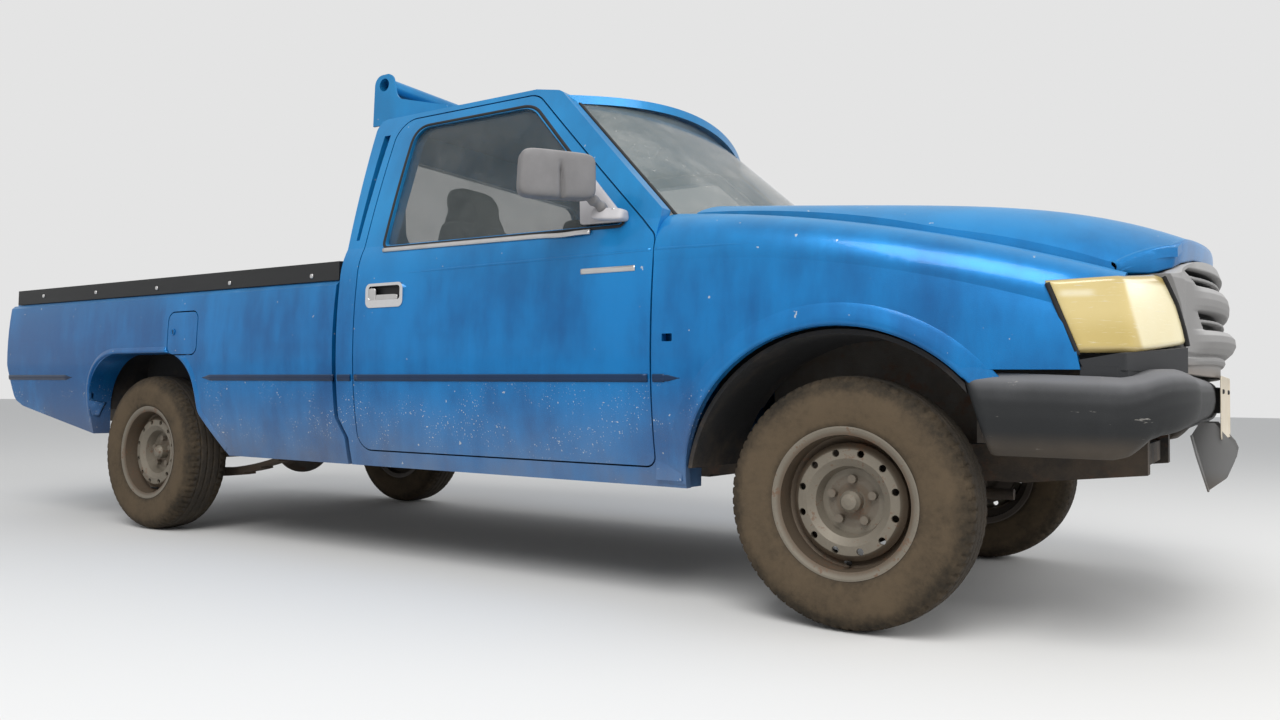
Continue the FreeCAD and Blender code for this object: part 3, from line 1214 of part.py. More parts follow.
def build():
    """Every node by name."""
    wall_solid = side_body()
    sides = cab_sides()
    roof = cab_roof(sides)
    right_door = door(wall_solid)
    right_glass = door_glass()
    screen = windscreen(sides, roof)
    right_wing = max(wing().cut(sides).cut(screen).Solids, key=lambda s: s.Volume)
    bed_wall = bed_side()
    flap = slab(flap_shape(), "xz", -beyond, -waist_half + fuel_flap_skin)
    pocket = slab(flap_shape(), "xz", -beyond, -waist_half + fuel_pocket_depth, shut_gap)
    pivot_x = fuel_flap_x + fuel_flap_length / 2
    leaf = box(pivot_x - 12, pivot_x + 10, -waist_half + fuel_flap_skin + seat_gap, -waist_half + 30,
               fuel_flap_z - 20, fuel_flap_z + 20)
    filler = rod((fuel_flap_x, -waist_half + 26, fuel_flap_z), (fuel_flap_x, -waist_half + 61, fuel_flap_z), 34)
    posts = tail_posts()
    bed_wall = bed_wall.cut(slab(lamp_face, "yz", rear_x - 1, rear_x + lamp_depth, seat_gap))
    right_bed = fused(bed_wall.cut(pocket), posts, leaf, filler)
    left_bed = mirrored(fused(bed_wall, posts))
    fuel_flap = bed_wall.common(flap)
    nodes = {
        "frame": frame(),
        "cab_sides": both(sides.cut(pillar_groove())),
        "cab_roof": roof,
        "cab_back": cab_back(sides, roof),
        "cab_floor": cab_floor(),
        "cowl": cowl(),
        "dashboard": dashboard(),
        "seats": seats(),
        "windscreen": screen,
        "back_glass": back_glass(),
        "steering_wheel": steering_wheel(),
        "wings": both(right_wing),
        "bonnet": bonnet(),
        "headlamps": headlamps(),
        "lamp_trims": both(lamp_trim()),
        "grille": grille(),
        "bumper": bumper(),
        "front_guard": front_guard(),
        "front_structure": front_structure(),
        "engine": engine(),
        "driveline": driveline(),
        "exhaust": exhaust(),
        "fuel_tank": fuel_tank(),
        "bed_sides": Part.makeCompound([right_bed, left_bed]),
        "fuel_flap": fuel_flap,
        "bed_floor": bed_floor(),
        "bed_liner": bed_liner(),
        "tailgate": tailgate(),
        "tail_lamps": tail_lamps(),
        "leaf_springs": leaf_springs(),
        "rear_axle": rear_axle(),
        "front_suspension": front_suspension(),
        "steering_rack": steering_rack(),
        "roof_bar": roof_bar(roof),
        "wipers": wipers(),
    }
    for name, turn in (("right", lambda s: s), ("left", mirrored)):
        nodes["door_" + name] = turn(right_door)
        nodes["door_glass_" + name] = turn(right_glass)
        nodes["door_handle_" + name] = turn(door_handle())
        nodes["mirror_" + name] = turn(mirror(wall_solid))
        nodes["knuckle_" + name] = turn(knuckle())
    for name, x, sign in (("front_right", front_axle_x, -1), ("front_left", front_axle_x, 1),
                          ("rear_right", rear_axle_x, -1), ("rear_left", rear_axle_x, 1)):
        nodes["wheel_" + name] = wheel(x, sign)
        nodes["tyre_" + name] = tyre(x, sign)
    return nodes


def main():
    os.makedirs("parts", exist_ok=True)
    for name, shape in build().items():
        if not shape.isValid() or not shape.Solids:
            print("not valid:", name)
        Part.makeCompound(shape.Solids).exportStep(os.path.join("parts", name + ".step"))
        size = shape.optimalBoundingBox(False)
        print("%-20s solids %d  x %.0f..%.0f  y %.0f..%.0f  z %.0f..%.0f" % (
            name, len(shape.Solids), size.XMin, size.XMax, size.YMin, size.YMax, size.ZMin, size.ZMax))


main()
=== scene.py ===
import bpy
import bmesh
import math
import numpy as np
from mathutils import Matrix, Vector


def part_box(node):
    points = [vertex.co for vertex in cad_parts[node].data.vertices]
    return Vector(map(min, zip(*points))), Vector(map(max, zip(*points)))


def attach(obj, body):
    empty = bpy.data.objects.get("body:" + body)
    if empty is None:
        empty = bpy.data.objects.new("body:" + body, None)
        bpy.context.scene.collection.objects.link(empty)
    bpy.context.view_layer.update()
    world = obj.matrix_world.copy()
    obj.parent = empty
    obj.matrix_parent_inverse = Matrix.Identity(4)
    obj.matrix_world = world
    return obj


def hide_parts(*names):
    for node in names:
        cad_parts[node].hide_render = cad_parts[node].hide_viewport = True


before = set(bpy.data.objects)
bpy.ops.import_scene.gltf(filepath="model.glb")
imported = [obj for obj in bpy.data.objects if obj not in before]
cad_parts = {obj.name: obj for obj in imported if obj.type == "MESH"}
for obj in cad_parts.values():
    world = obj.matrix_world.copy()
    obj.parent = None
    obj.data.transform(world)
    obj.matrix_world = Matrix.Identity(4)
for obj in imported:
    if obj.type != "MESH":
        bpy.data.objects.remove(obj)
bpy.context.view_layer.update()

scene = bpy.context.scene


# Camera: low beside the right front wing, with an ordinary phone's lens, tipped up a little. Its place was fitted to
# eleven points of the photo.
camera_place = (2.569, -3.146, 0.583)
yaw, pitch, tilt = math.radians(32.52), math.radians(2.27), math.radians(0.83)
forward = np.array([-math.sin(yaw) * math.cos(pitch), math.cos(yaw) * math.cos(pitch), math.sin(pitch)])
level = np.array([math.cos(yaw), math.sin(yaw), 0.0])
upright = np.cross(level, forward)
right = math.cos(tilt) * level + math.sin(tilt) * upright
up = -math.sin(tilt) * level + math.cos(tilt) * upright
camera_data = bpy.data.cameras.new("camera")
camera_data.lens = 27.2
camera_data.sensor_width = 36.0
camera = bpy.data.objects.new("camera", camera_data)
camera.matrix_world = Matrix([*zip(right, up, -forward, camera_place), (0, 0, 0, 1)])
scene.collection.objects.link(camera)
scene.camera = camera


# Floor and studio: a matte pale floor that runs up into a white surround, lit by a wide lamp above the right side,
# a second one ahead of the nose and the white surround itself. Nothing here belongs to the truck.
floor_half = 60.0
floor_mesh = bpy.data.meshes.new("floor")
floor_mesh.from_pydata([(floor_half * x, floor_half * y, 0) for x, y in ((-1, -1), (1, -1), (1, 1), (-1, 1))], [],
                       [(0, 1, 2, 3)])
floor = bpy.data.objects.new("floor", floor_mesh)
scene.collection.objects.link(floor)
floor_paint = bpy.data.materials.new("floor")
floor_paint.use_nodes = True
floor_shader = floor_paint.node_tree.nodes["Principled BSDF"]
floor_shader.inputs["Base Color"].default_value = (0.72, 0.71, 0.69, 1)
floor_shader.inputs["Roughness"].default_value = 0.9
floor_mesh.materials.append(floor_paint)

world = bpy.data.worlds.new("surround")
scene.world = world
world.use_nodes = True
sky = world.node_tree
sky.nodes.clear()
seen = sky.nodes.new("ShaderNodeBackground")
seen.inputs["Strength"].default_value = 0.97
lighting = sky.nodes.new("ShaderNodeBackground")
lighting.inputs["Color"].default_value = (0.93, 0.96, 1.0, 1)
lighting.inputs["Strength"].default_value = 0.62
ray = sky.nodes.new("ShaderNodeLightPath")
direct = ray.outputs["Is Camera Ray"]
for kind in ("Is Transmission Ray", "Is Glossy Ray"):
    either = sky.nodes.new("ShaderNodeMath")
    either.operation = "MAXIMUM"
    sky.links.new(direct, either.inputs[0])
    sky.links.new(ray.outputs[kind], either.inputs[1])
    direct = either.outputs[0]
choice = sky.nodes.new("ShaderNodeMixShader")
sky.links.new(direct, choice.inputs["Fac"])
sky.links.new(lighting.outputs[0], choice.inputs[1])
sky.links.new(seen.outputs[0], choice.inputs[2])
sky.links.new(choice.outputs[0], sky.nodes.new("ShaderNodeOutputWorld").inputs["Surface"])

for name, place, aim, width, power in (
        ("lamp_over_side", (3.0, -5.5, 6.5), (0.2, 0.0, 0.6), 5.0, 520),
        ("lamp_ahead", (8.0, 1.5, 4.0), (0.5, 0.0, 0.6), 4.0, 200)):
    lamp_data = bpy.data.lights.new(name, "AREA")
    lamp_data.size = width
    lamp_data.energy = power
    lamp = bpy.data.objects.new(name, lamp_data)
    lamp.location = place
    lamp.rotation_euler = (Vector(aim) - Vector(place)).to_track_quat("-Z", "Y").to_euler()
    scene.collection.objects.link(lamp)


# Painted panels: pressed steel under metallic blue paint and clear lacquer. The lacquer has gone chalky on the upper
# faces, road dust lies along the sills, and small pale chips show on the lower doors.
class Flow:
    """A socket of a material. Sums on numbers and other flows add Math nodes."""

    def __init__(self, tree, socket=None):
        self.tree, self.socket = tree, socket

    def node(self, kind, settings, values, out=0):
        """Any other node: its settings go in first, then the values or links of its sockets."""
        made = self.tree.nodes.new(kind)
        for name, value in settings.items():
            setattr(made, name, value)
        for name, value in values.items():
            if isinstance(value, Flow):
                self.tree.links.new(value.socket, made.inputs[name])
            else:
                made.inputs[name].default_value = value
        return Flow(self.tree, made.outputs[out])

    def math(self, operation, first, second=0.0, third=0.0):
        return self.node("ShaderNodeMath", {"operation": operation}, {0: first, 1: second, 2: third})

    def __add__(self, other):
        return self.math("ADD", self, other)

    def __sub__(self, other):
        return self.math("SUBTRACT", self, other)

    def __rsub__(self, other):
        return self.math("SUBTRACT", other, self)

    def __mul__(self, other):
        return self.math("MULTIPLY", self, other)

    __radd__, __rmul__ = __add__, __mul__

    def size(self):
        """The flow without its sign."""
        return self.math("ABSOLUTE", self)

    def ramp(self, low, high):
        """0 where this flow is under low, 1 where it is over high, smooth between them."""
        return self.node("ShaderNodeMapRange", {"interpolation_type": "SMOOTHSTEP"},
                         {"Value": self, "From Min": low, "From Max": high})

    def band(self, low, high, soft):
        """1 between low and high, 0 outside, with soft edges."""
        return self.ramp(low - soft, low + soft) * (1 - self.ramp(high - soft, high + soft))

    def tint(self, under, over):
        """Colour that goes from under to over as this flow goes from 0 to 1. Each is a flow or red, green, blue."""
        ends = [end if isinstance(end, Flow) else (*end, 1.0) for end in (under, over)]
        return self.node("ShaderNodeMix", {"data_type": "RGBA"}, {"Factor": self, 6: ends[0], 7: ends[1]}, 2)

    def noise(self, scale, detail=3.0, roughness=0.55, stretch=(1, 1, 1)):
        """Cloudy noise in metres on the object's own coordinates."""
        place = self.node("ShaderNodeMapping", {}, {"Vector": self, "Scale": stretch})
        return self.node("ShaderNodeTexNoise", {}, {"Vector": place, "Scale": scale, "Detail": detail,
                                                    "Roughness": roughness})

    def waves(self, direction, scale, **more):
        """Even ridges that follow each other along an axis."""
        values = {"Vector": self, "Scale": scale, **more}
        return self.node("ShaderNodeTexWave", {"bands_direction": direction}, values, 1)

    def cells(self, scale):
        """Leather grain: distance from the middle of small cells."""
        return self.node("ShaderNodeTexVoronoi", {}, {"Vector": self, "Scale": scale}, 0)

    def axis(self, index):
        """One coordinate of a place: 0, 1 or 2."""
        return self.node("ShaderNodeSeparateXYZ", {}, {0: self}, index)


def start(name):
    """New material, its shader and the flow of the object's own coordinates."""
    material = bpy.data.materials.new(name)
    material.use_nodes = True
    tree = material.node_tree
    place = Flow(tree).node("ShaderNodeTexCoord", {}, {}, 3)
    return material, tree.nodes["Principled BSDF"], place


def feed(shader, bump=None, depth=0.001, **looks):
    """Sets or links the shader's sockets, and its bump from a height flow in units of depth, in metres."""
    tree = shader.id_data
    for name, value in looks.items():
        socket = shader.inputs[name.replace("_", " ").title().replace("Ior", "IOR")]
        if isinstance(value, Flow):
            tree.links.new(value.socket, socket)
        else:
            socket.default_value = value
    if bump is not None:
        tree.links.new(bump.node("ShaderNodeBump", {}, {"Strength": 1.0, "Distance": depth, "Height": bump}).socket,
                       shader.inputs["Normal"])


def dress(material, *names):
    """Gives these CAD nodes the material."""
    for name in names:
        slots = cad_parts[name].data.materials
        slots.clear()
        slots.append(material)


dust_colour = (0.22, 0.185, 0.145)


def dust_on(place, low, high):
    """Share of road dust, from all of it at the height low to none at high, with uneven edges."""
    return place.noise(3.5, 5, 0.62) * 0.9 * (1 - place.axis(2).ramp(low, high))


def upward(place, low=0.55, high=0.95):
    """1 on faces that look up, 0 on upright ones."""
    return place.node("ShaderNodeTexCoord", {}, {}, 1).axis(2).ramp(low, high)


def paint(name, light, deep, chips=True, low_dust=(0.28, 0.66)):
    """Metallic paint under lacquer, between a light and a deep blue in slow clouds, and a little deeper on the bed as
    painted shade. With chips, it is also painted lighter high up as painted light and chipped low down. The road dust
    ends between the heights in low_dust."""
    material, shader, place = start(name)
    cloud = place.noise(1.7, 4, 0.6)
    streak = place.noise(9, 4, 0.6, (1.0, 1.0, 0.25))
    flake = place.noise(2600, 1)
    dust = dust_on(place, *low_dust)
    chalk = upward(place) * (0.22 + 0.3 * place.noise(5, 5, 0.65))
    # Painted shade: the bed's panels lean to the deep blue.
    bed = 1 - place.axis(0).ramp(-0.35, -0.10)
    height = place.axis(2)
    colour = (cloud * 0.7 + streak * 0.45 - bed * 0.07).ramp(0.38, 0.74).tint(deep, light)
    colour = (flake.ramp(0.45, 0.75) * 0.5).tint(colour, [min(1.0, c * 1.7 + 0.004) for c in light])
    if chips:
        # Painted light: the paint turns lighter and more cyan with height.
        lit_high_up = height.ramp(0.80, 1.30) * 0.55 * (0.55 + 0.6 * cloud)
        colour = lit_high_up.tint(colour, (0.022, 0.300, 0.600))
    colour = chalk.tint(colour, (0.075, 0.33, 0.58))
    colour = dust.tint(colour, dust_colour)
    if chips:
        chip = place.noise(170, 2, 0.5).ramp(0.655, 0.70) * height.band(0.42, 0.60, 0.07)
        chip = chip * place.noise(7, 3).ramp(0.44, 0.60)
        spot = place.noise(46, 2, 0.5).ramp(0.745, 0.765)
        colour = (chip + spot * 0.6).tint(colour, (0.62, 0.60, 0.54))
    feed(shader, base_color=colour, roughness=0.26 + 0.16 * cloud + dust * 0.45 + chalk * 0.3,
         metallic=0.46 * (1 - dust) * (1 - chalk), coat_weight=0.30 * (1 - dust) * (1 - chalk), coat_roughness=0.10,
         specular_ior_level=0.3, bump=place.noise(420, 2) * 0.3 + place.noise(7, 2) * 1.4, depth=0.0007)
    return material


blue_paint = paint("blue_paint", (0.003, 0.178, 0.470), (0.002, 0.066, 0.215))
dress(blue_paint, "cab_sides", "cab_roof", "cab_back", "cowl", "wings", "bonnet", "door_right", "door_left",
      "bed_sides", "tailgate", "fuel_flap", "roof_bar")


# Undersides: the floors, the radiator panel, the inner wings and the wheel tunnels carry black underseal sprayed over
# the paint, coarse to the touch. The chassis is painted black, and the springs, exhaust and castings are bare metal
# with rust. Brown road dirt is caked on where the wheels throw it, in a dark brown that is partly painted shade under
# the truck.
def under_dirt(name, colour, rough, metal, rust, share):
    """Dull coat with a share of dirt in the low and outer places and, where asked for, rust blooms."""
    material, shader, place = start(name)
    cloud = place.noise(5, 5, 0.65)
    caked = (cloud + (1 - place.axis(2).ramp(0.2, 0.9)) * 0.25).ramp(0.75 - share * 0.5, 1.02 - share * 0.3)
    shade = place.noise(22, 4, 0.6).tint([c * 0.7 for c in colour], [c * 1.35 for c in colour])
    bloom = place.noise(14, 6, 0.7).ramp(0.62 - rust * 0.2, 0.72) * min(1.0, rust * 1.5)
    shade = bloom.tint(shade, (0.15, 0.055, 0.022))
    # The caked dirt's colour is kept dark, partly as painted shade under the truck.
    shade = caked.tint(shade, (0.085, 0.062, 0.043))
    feed(shader, base_color=shade, roughness=rough + cloud * 0.15, metallic=metal * (1 - caked),
         bump=place.noise(260, 3, 0.6) + place.noise(40, 3) * 1.5, depth=0.0009)
    return material


for name, colour, rough, metal, rust, share, nodes in (
        ("underseal", (0.014, 0.014, 0.015), 0.8, 0.0, 0.0, 0.35, ("front_structure", "cab_floor", "bed_floor")),
        ("chassis_black", (0.022, 0.021, 0.020), 0.7, 0.0, 0.5, 0.55, ("frame", "front_suspension", "fuel_tank")),
        ("spring_steel", (0.10, 0.085, 0.07), 0.62, 0.5, 0.9, 0.5, ("leaf_springs", "steering_rack")),
        ("exhaust_steel", (0.20, 0.165, 0.13), 0.5, 0.7, 0.9, 0.3, ("exhaust",)),
        ("cast_metal", (0.12, 0.108, 0.095), 0.66, 0.4, 0.6, 0.5,
         ("engine", "driveline", "rear_axle", "knuckle_right", "knuckle_left"))):
    dress(under_dirt(name, colour, rough, metal, rust, share), *nodes)


# Pressed lines of the sides: a swage runs from the wing across the door and the cab's corner to the rear arch, and a
# short one follows behind it. Each is rolled into its own panel, steep underneath, and painted a much darker blue than
# the panels as painted shade in its crease. A finer line runs along the waist of the door and the wing.
def travel(line):
    """Length along a line up to each of its points."""
    return np.concatenate([[0], np.cumsum(np.linalg.norm(np.diff(line, axis=0), axis=1))])


def rounded(corners, step=0.01, closed=False, fullness=0.94):
    """Even points along straight runs between corners (a, b, radius), with an arc inside each corner: a weighted
    parabola, whose corner point pulls by its fullness."""
    corners = np.array([(*corner, 0.0)[:3] for corner in corners], float)
    before, after = np.roll(corners, 1, 0), np.roll(corners, -1, 0)
    runs = []
    for here, back, ahead in zip(corners, before, after):
        to_back, to_ahead = back[:2] - here[:2], ahead[:2] - here[:2]
        to_back /= np.linalg.norm(to_back)
        to_ahead /= np.linalg.norm(to_ahead)
        half = math.acos(np.clip(to_back @ to_ahead, -1, 1)) / 2
        trim = here[2] / math.tan(half)
        share = np.linspace(0, 1, 13)[:, None]
        pull = 2 * share * (1 - share) * fullness
        arc = (here[:2] + to_back * trim) * (1 - share) ** 2 + here[:2] * pull + (
            here[:2] + to_ahead * trim) * share ** 2
        weight = (1 - share) ** 2 + pull + share ** 2
        runs.append(arc / weight if here[2] else here[None, :2])
    if not closed:
        runs[0], runs[-1] = corners[:1, :2], corners[-1:, :2]
    line = np.concatenate(runs + ([runs[0][:1]] if closed else []))
    length = travel(line)
    count = max(3, int(length[-1] / step))
    even = np.linspace(0, length[-1], count + 1)[:count if closed else count + 1]
    return np.stack([np.interp(even, length, line[:, 0]), np.interp(even, length, line[:, 1])], 1)


def lay(node, x, z, axis=1, far=-1.2):
    """Place along an axis of a node's outer face at each (x, z), or (x, y) for the axis Z, from a cloud of points
    dropped onto it from far away. A point that finds nothing takes its place between its neighbours'."""
    cloud = bpy.data.meshes.new("cloud")
    level = np.full(np.shape(x), far)
    points = np.stack([x, level, z + 0.0007] if axis == 1 else [x, z, level], -1).reshape(-1, 3)
    cloud.vertices.add(len(points))
    cloud.vertices.foreach_set("co", points.ravel())
    holder = bpy.data.objects.new("cloud", cloud)
    scene.collection.objects.link(holder)
    drop = holder.modifiers.new("drop", "SHRINKWRAP")
    drop.wrap_method, drop.target = "PROJECT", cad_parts[node]
    drop.use_project_y, drop.use_project_z = axis == 1, axis == 2
    drop.use_positive_direction, drop.use_negative_direction = far < 0, far > 0
    found = np.empty(points.size, np.float32)
    holder.evaluated_get(bpy.context.evaluated_depsgraph_get()).data.vertices.foreach_get("co", found)
    bpy.data.objects.remove(holder)
    bpy.data.meshes.remove(cloud)
    found = found.reshape(-1, 3)[:, axis].astype(float)
    hit = np.abs(found - far) > 1e-4
    found = np.interp(np.arange(len(found)), np.arange(len(found))[hit], found[hit])
    return found.reshape(np.shape(x))


def on_face(node, x, z):
    """Line on the right-hand face of a node, through each (x, z)."""
    return np.stack([x, lay(node, x, z), z], 1)


def sweep(path, section, outward, closed=False, size=1.0):
    """Grid of a section carried along a path. A section point (a, b) stands a beside the path and b outward of it,
    each times the size, which may change along the path."""
    ahead = np.roll(path, -1, 0) - np.roll(path, 1, 0) if closed else np.gradient(path, axis=0)
    side = np.cross(ahead, np.broadcast_to(outward, path.shape))
    side /= np.linalg.norm(side, axis=1)[:, None]
    out = np.cross(side, ahead)
    out /= np.linalg.norm(out, axis=1)[:, None]
    section = np.asarray(section, float)
    spread = side[:, None] * section[:, :1] + out[:, None] * section[:, 1:]
    return path[:, None] + spread * np.reshape(size, (-1, 1, 1))


def add(name, points, material, body, slot, closed_rows=False, closed_columns=True, ends=True):
    """Piece from a grid of points, or from several grids of like pieces, its last three axes rows, columns and
    x, y, z. Columns close on themselves, and open rows end in a point at the middle of the end row."""
    points = np.asarray(points, float)
    if ends and not closed_rows:
        first, last = [np.broadcast_to(row.mean(-2, keepdims=True), row.shape)
                       for row in (points[..., :1, :, :], points[..., -1:, :, :])]
        points = np.concatenate([first, points, last], -3)
    rows, columns = points.shape[-3:-1]
    grid = np.arange(points.size // 3).reshape(-1, rows, columns)
    if closed_rows:
        grid = np.concatenate([grid, grid[:, :1]], 1)
    if closed_columns:
        grid = np.concatenate([grid, grid[:, :, :1]], 2)
    faces = np.stack([grid[:, :-1, :-1], grid[:, 1:, :-1], grid[:, 1:, 1:], grid[:, :-1, 1:]], -1).reshape(-1, 4)
    mesh = bpy.data.meshes.new(name)
    mesh.from_pydata(points.reshape(-1, 3).tolist(), [], faces.tolist())
    work = bmesh.new()
    work.from_mesh(mesh)
    bmesh.ops.remove_doubles(work, verts=work.verts, dist=2e-6)
    bmesh.ops.recalc_face_normals(work, faces=work.faces)
    work.to_mesh(mesh)
    work.free()
    mesh.shade_smooth()
    mesh.materials.append(material)
    made = bpy.data.objects.new(name, mesh)
    scene.collection.objects.link(made)
    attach(made, body)
    return made


to_left = np.array([1.0, -1.0, 1.0])


def add_both(name, points, material, body, slot, **how):
    """The same piece on the right side and, mirrored, on the left."""
    return [add(name + "_right", points, material, body, slot, **how),
            add(name + "_left", np.array(points) * to_left, material, body.replace("right", "left"), slot, **how)]


# The swages' paint is a near-black blue, as painted shade under each crease.
swage_shade_paint = paint("swage_shade_paint", (0.002, 0.026, 0.080), (0.002, 0.014, 0.046), False, (0.10, 0.30))
swage_z, fade = 0.640, 0.05
swage = [(0.012, -0.002), (0.010, 0.0035), (0.0, 0.0055), (-0.009, 0.006), (-0.012, 0.004), (-0.012, -0.002)]
for name, node, body, x0, x1, fades in (  # which end fades out: 1 ahead, -1 behind, 0 neither
        ("swage_wing", "wings", "truck", 1.146, 1.235, 1),
        ("swage_door", "door_right", "door_right", -0.072, 1.128, 0),
        ("swage_cab", "cab_sides", "truck", -0.160, -0.094, 0),
        ("swage_bed", "bed_sides", "truck", -0.955, -0.182, -1),
        ("swage_tail", "bed_sides", "truck", -2.50, -1.935, 1)):
    x = np.linspace(x0, x1, 60)
    fading = {1: x > x1 - fade, -1: x < x0 + fade, 0: False}[fades]
    size = np.where(fading, np.clip((x - x0) / fade, 0.12, 1) * np.clip((x1 - x) / fade, 0.12, 1), 1.0)
    add_both(name, sweep(on_face(node, x, np.full(60, swage_z)), swage, (0, -1, 0), size=size), swage_shade_paint, body,
             "blue_paint")
ridge = [(0.005, -0.002), (0.004, 0.0005), (0.0, 0.0014), (-0.004, 0.0012), (-0.005, -0.002)]
for name, node, body, x0, x1 in (("waist_door", "door_right", "door_right", 0.10, 1.128),
                                 ("waist_wing", "wings", "truck", 1.146, 1.50)):
    x = np.linspace(x0, x1, 80)
    z = 0.9935 + 0.010 * (x - 0.10) - 0.035 * np.clip(x - 1.146, 0, 1)
    size = np.clip((x - x0) / 0.25, 0.1, 1) if node == "door_right" else np.clip((x1 - x) / 0.20, 0.1, 1)
    add_both(name, sweep(on_face(node, x, z), ridge, (0, -1, 0), size=size), blue_paint, body, "blue_paint")


# Wheel arch lips: the edge of each arch is flared into a soft rounded lip and folded inward. Stones have dulled the
# paint there and dirt sits on the fold.
def beside(line):
    """Unit vectors in a line's plane, square to it and to the right of its run."""
    ahead = np.gradient(line, axis=0)
    return np.stack([ahead[..., 1], -ahead[..., 0]], -1) / np.linalg.norm(ahead, axis=-1)[..., None]


def to_end(line):
    """Steps from each point of a line to its nearer end."""
    step = np.arange(len(line))
    return np.minimum(step, step[::-1])


front_middle, front_radius = (1.673, 0.333), 0.440
turn = np.radians(np.linspace(-1, 181, 170))
front_arch = front_middle + front_radius * np.stack([np.cos(turn), np.sin(turn)], 1)
front_arch = front_arch[(front_arch[:, 0] < 2.028) & (front_arch[:, 1] > 0.337)]  # up to the bumper, over the sill
rear_arch = rounded([(-0.780, 0.270), (-1.000, 0.500, 0.06), (-1.030, 0.742, 0.205), (-1.815, 0.742, 0.235),
                     (-1.801, 0.470)])
rear_arch = rear_arch[rear_arch[:, 1] > 0.345]
lip = np.array([  # out from the arch's edge, proud of the panel
    (0.002, -0.022), (0.0, -0.004), (0.003, 0.0040), (0.010, 0.0062), (0.020, 0.0058), (0.032, 0.0040),
    (0.045, 0.0020), (0.056, 0.0003), (0.062, -0.0015)])
for name, node, arch, middle, wide in (("front_arch_lip", "wings", front_arch, front_middle, 1.0),
                                       ("rear_arch_lip", "bed_sides", rear_arch, (-1.408, 0.40), 0.42)):
    normal = beside(arch)
    normal *= np.sign(np.sum(normal * (arch - middle), 1))[:, None]
    out = lip[:, 0] * wide
    spread = arch[:, None] + normal[:, None] * np.maximum(out, 0.004)[None, :, None]
    flat = arch[:, None] + normal[:, None] * out[None, :, None]
    proud = lip[None, :, 1] * np.clip(to_end(arch) / 14.0, 0.12, 1)[:, None] ** 0.7
    y = lay(node, spread[..., 0].T, spread[..., 1].T).T
    lips = np.stack([flat[..., 0], y - proud, flat[..., 1]], -1)
    add_both(name, np.concatenate([lips, lips[:, ::-1] + (0, 0.004, 0)], 1), blue_paint, "truck", "blue_paint")


# Window rubbers: a black extruded rubber frames each door glass and the windscreen. It has gone grey along its
# upper edges in the sun.
rubber, shader, place = start("weathered_rubber")
age = place.noise(30, 4, 0.6)
feed(shader, base_color=(age * 0.5 + upward(place) * 0.5).tint((0.007, 0.007, 0.008), (0.055, 0.054, 0.052)),
     roughness=0.58 + age * 0.2, specular_ior_level=0.25, bump=place.noise(900, 2) + place.noise(60, 3) * 0.5,
     depth=0.0003)


def circle(count):
    """Unit circle of that many points."""
    turn = np.linspace(0, 2 * math.pi, count, False)
    return np.stack([np.cos(turn), np.sin(turn)], 1)


window = [(0.012, 1.092, 0.024), (1.028, 1.084, 0.012), (0.556, 1.552, 0.115), (0.012, 1.552, 0.066)]
line = on_face("door_right", *rounded(window, 0.012, True).T)
seal = sweep(line, circle(10) * (1.25, 1), (0, -1, 0.25), closed=True, size=0.0045)
add_both("window_rubber", seal, rubber, "door_right", "tyre_rubber", closed_rows=True)


def screen_point(z, share, foot_z=1.100, slope=0.953):
    """Point of the windscreen's outer face at a height, share of the way from its middle to its edge: on an arc of
    half width h and bow b, so of radius (h^2 + b^2) / 2b, both falling with height, that leans back with the slope."""
    up = (z - foot_z) / 0.534
    half, bow = 0.754 - 0.181 * up, 0.215 - 0.055 * up
    radius = (half ** 2 + bow ** 2) / (2 * bow)
    x = 1.162 - (z - foot_z) / slope + bow - radius + np.sqrt(radius ** 2 - (half * share) ** 2)
    return np.stack([x, half * share, z], -1)


def bead(foot, shoulder, top):
    """Section of a strip that is the same on both sides: its foot and shoulder (a, b), and its top's height."""
    return [foot, shoulder, (0.0, top), (-shoulder[0], shoulder[1]), (-foot[0], foot[1])]


up_right = screen_point(np.linspace(1.570, 1.118, 60), np.full(60, -0.985))
foot = screen_point(np.full(90, 1.110), np.linspace(-0.97, 0.97, 90))
line = np.concatenate([up_right, foot, up_right[::-1] * to_left])
add("screen_rubber", sweep(line, bead((0.010, -0.002), (0.009, 0.003), 0.005), (1, 0, 0.9)), rubber, "truck",
    "tyre_rubber")


# Bright strips: polished aluminium along the foot of each door window, pushed out of line a little near the mirror,
# and the plain bright bar that is riveted to the door below the waist.
bright, shader, place = start("bright_trim")
pitted = place.noise(420, 3, 0.6).ramp(0.60, 0.75)
film = place.noise(12, 4, 0.6)
feed(shader, base_color=(film * 0.7 + pitted * 0.5).tint((0.66, 0.66, 0.67), (0.36, 0.33, 0.29)),
     roughness=0.22 + film * 0.22 + pitted * 0.2, metallic=0.85 - 0.5 * pitted,
     bump=place.noise(150, 3), depth=0.0002)
x = np.linspace(0.024, 0.905, 90)
z = 1.0825 - (x - 0.024) * 0.0085 - 0.003 * np.exp(-((x - 0.80) / 0.06) ** 2)
line = on_face("door_right", x, z)
line[:, 1] -= 0.0015 + 0.004 * np.exp(-((x - 0.86) / 0.05) ** 2)
strip = [(0.008, -0.001), (0.0075, 0.004), (0.003, 0.0065), (-0.004, 0.0065), (-0.008, 0.003), (-0.008, -0.001)]
add_both("sill_strip", sweep(line, strip, (0, -1, 0.3)), bright, "door_right", "handle_chrome")
strip = bead((0.0085, -0.001), (0.008, 0.0025), 0.0038)
line = on_face("door_right", np.linspace(0.888, 1.078, 40), np.full(40, 0.9545))
add_both("door_bar", sweep(line, strip, (0, -1, 0)), bright, "door_right", "handle_chrome")


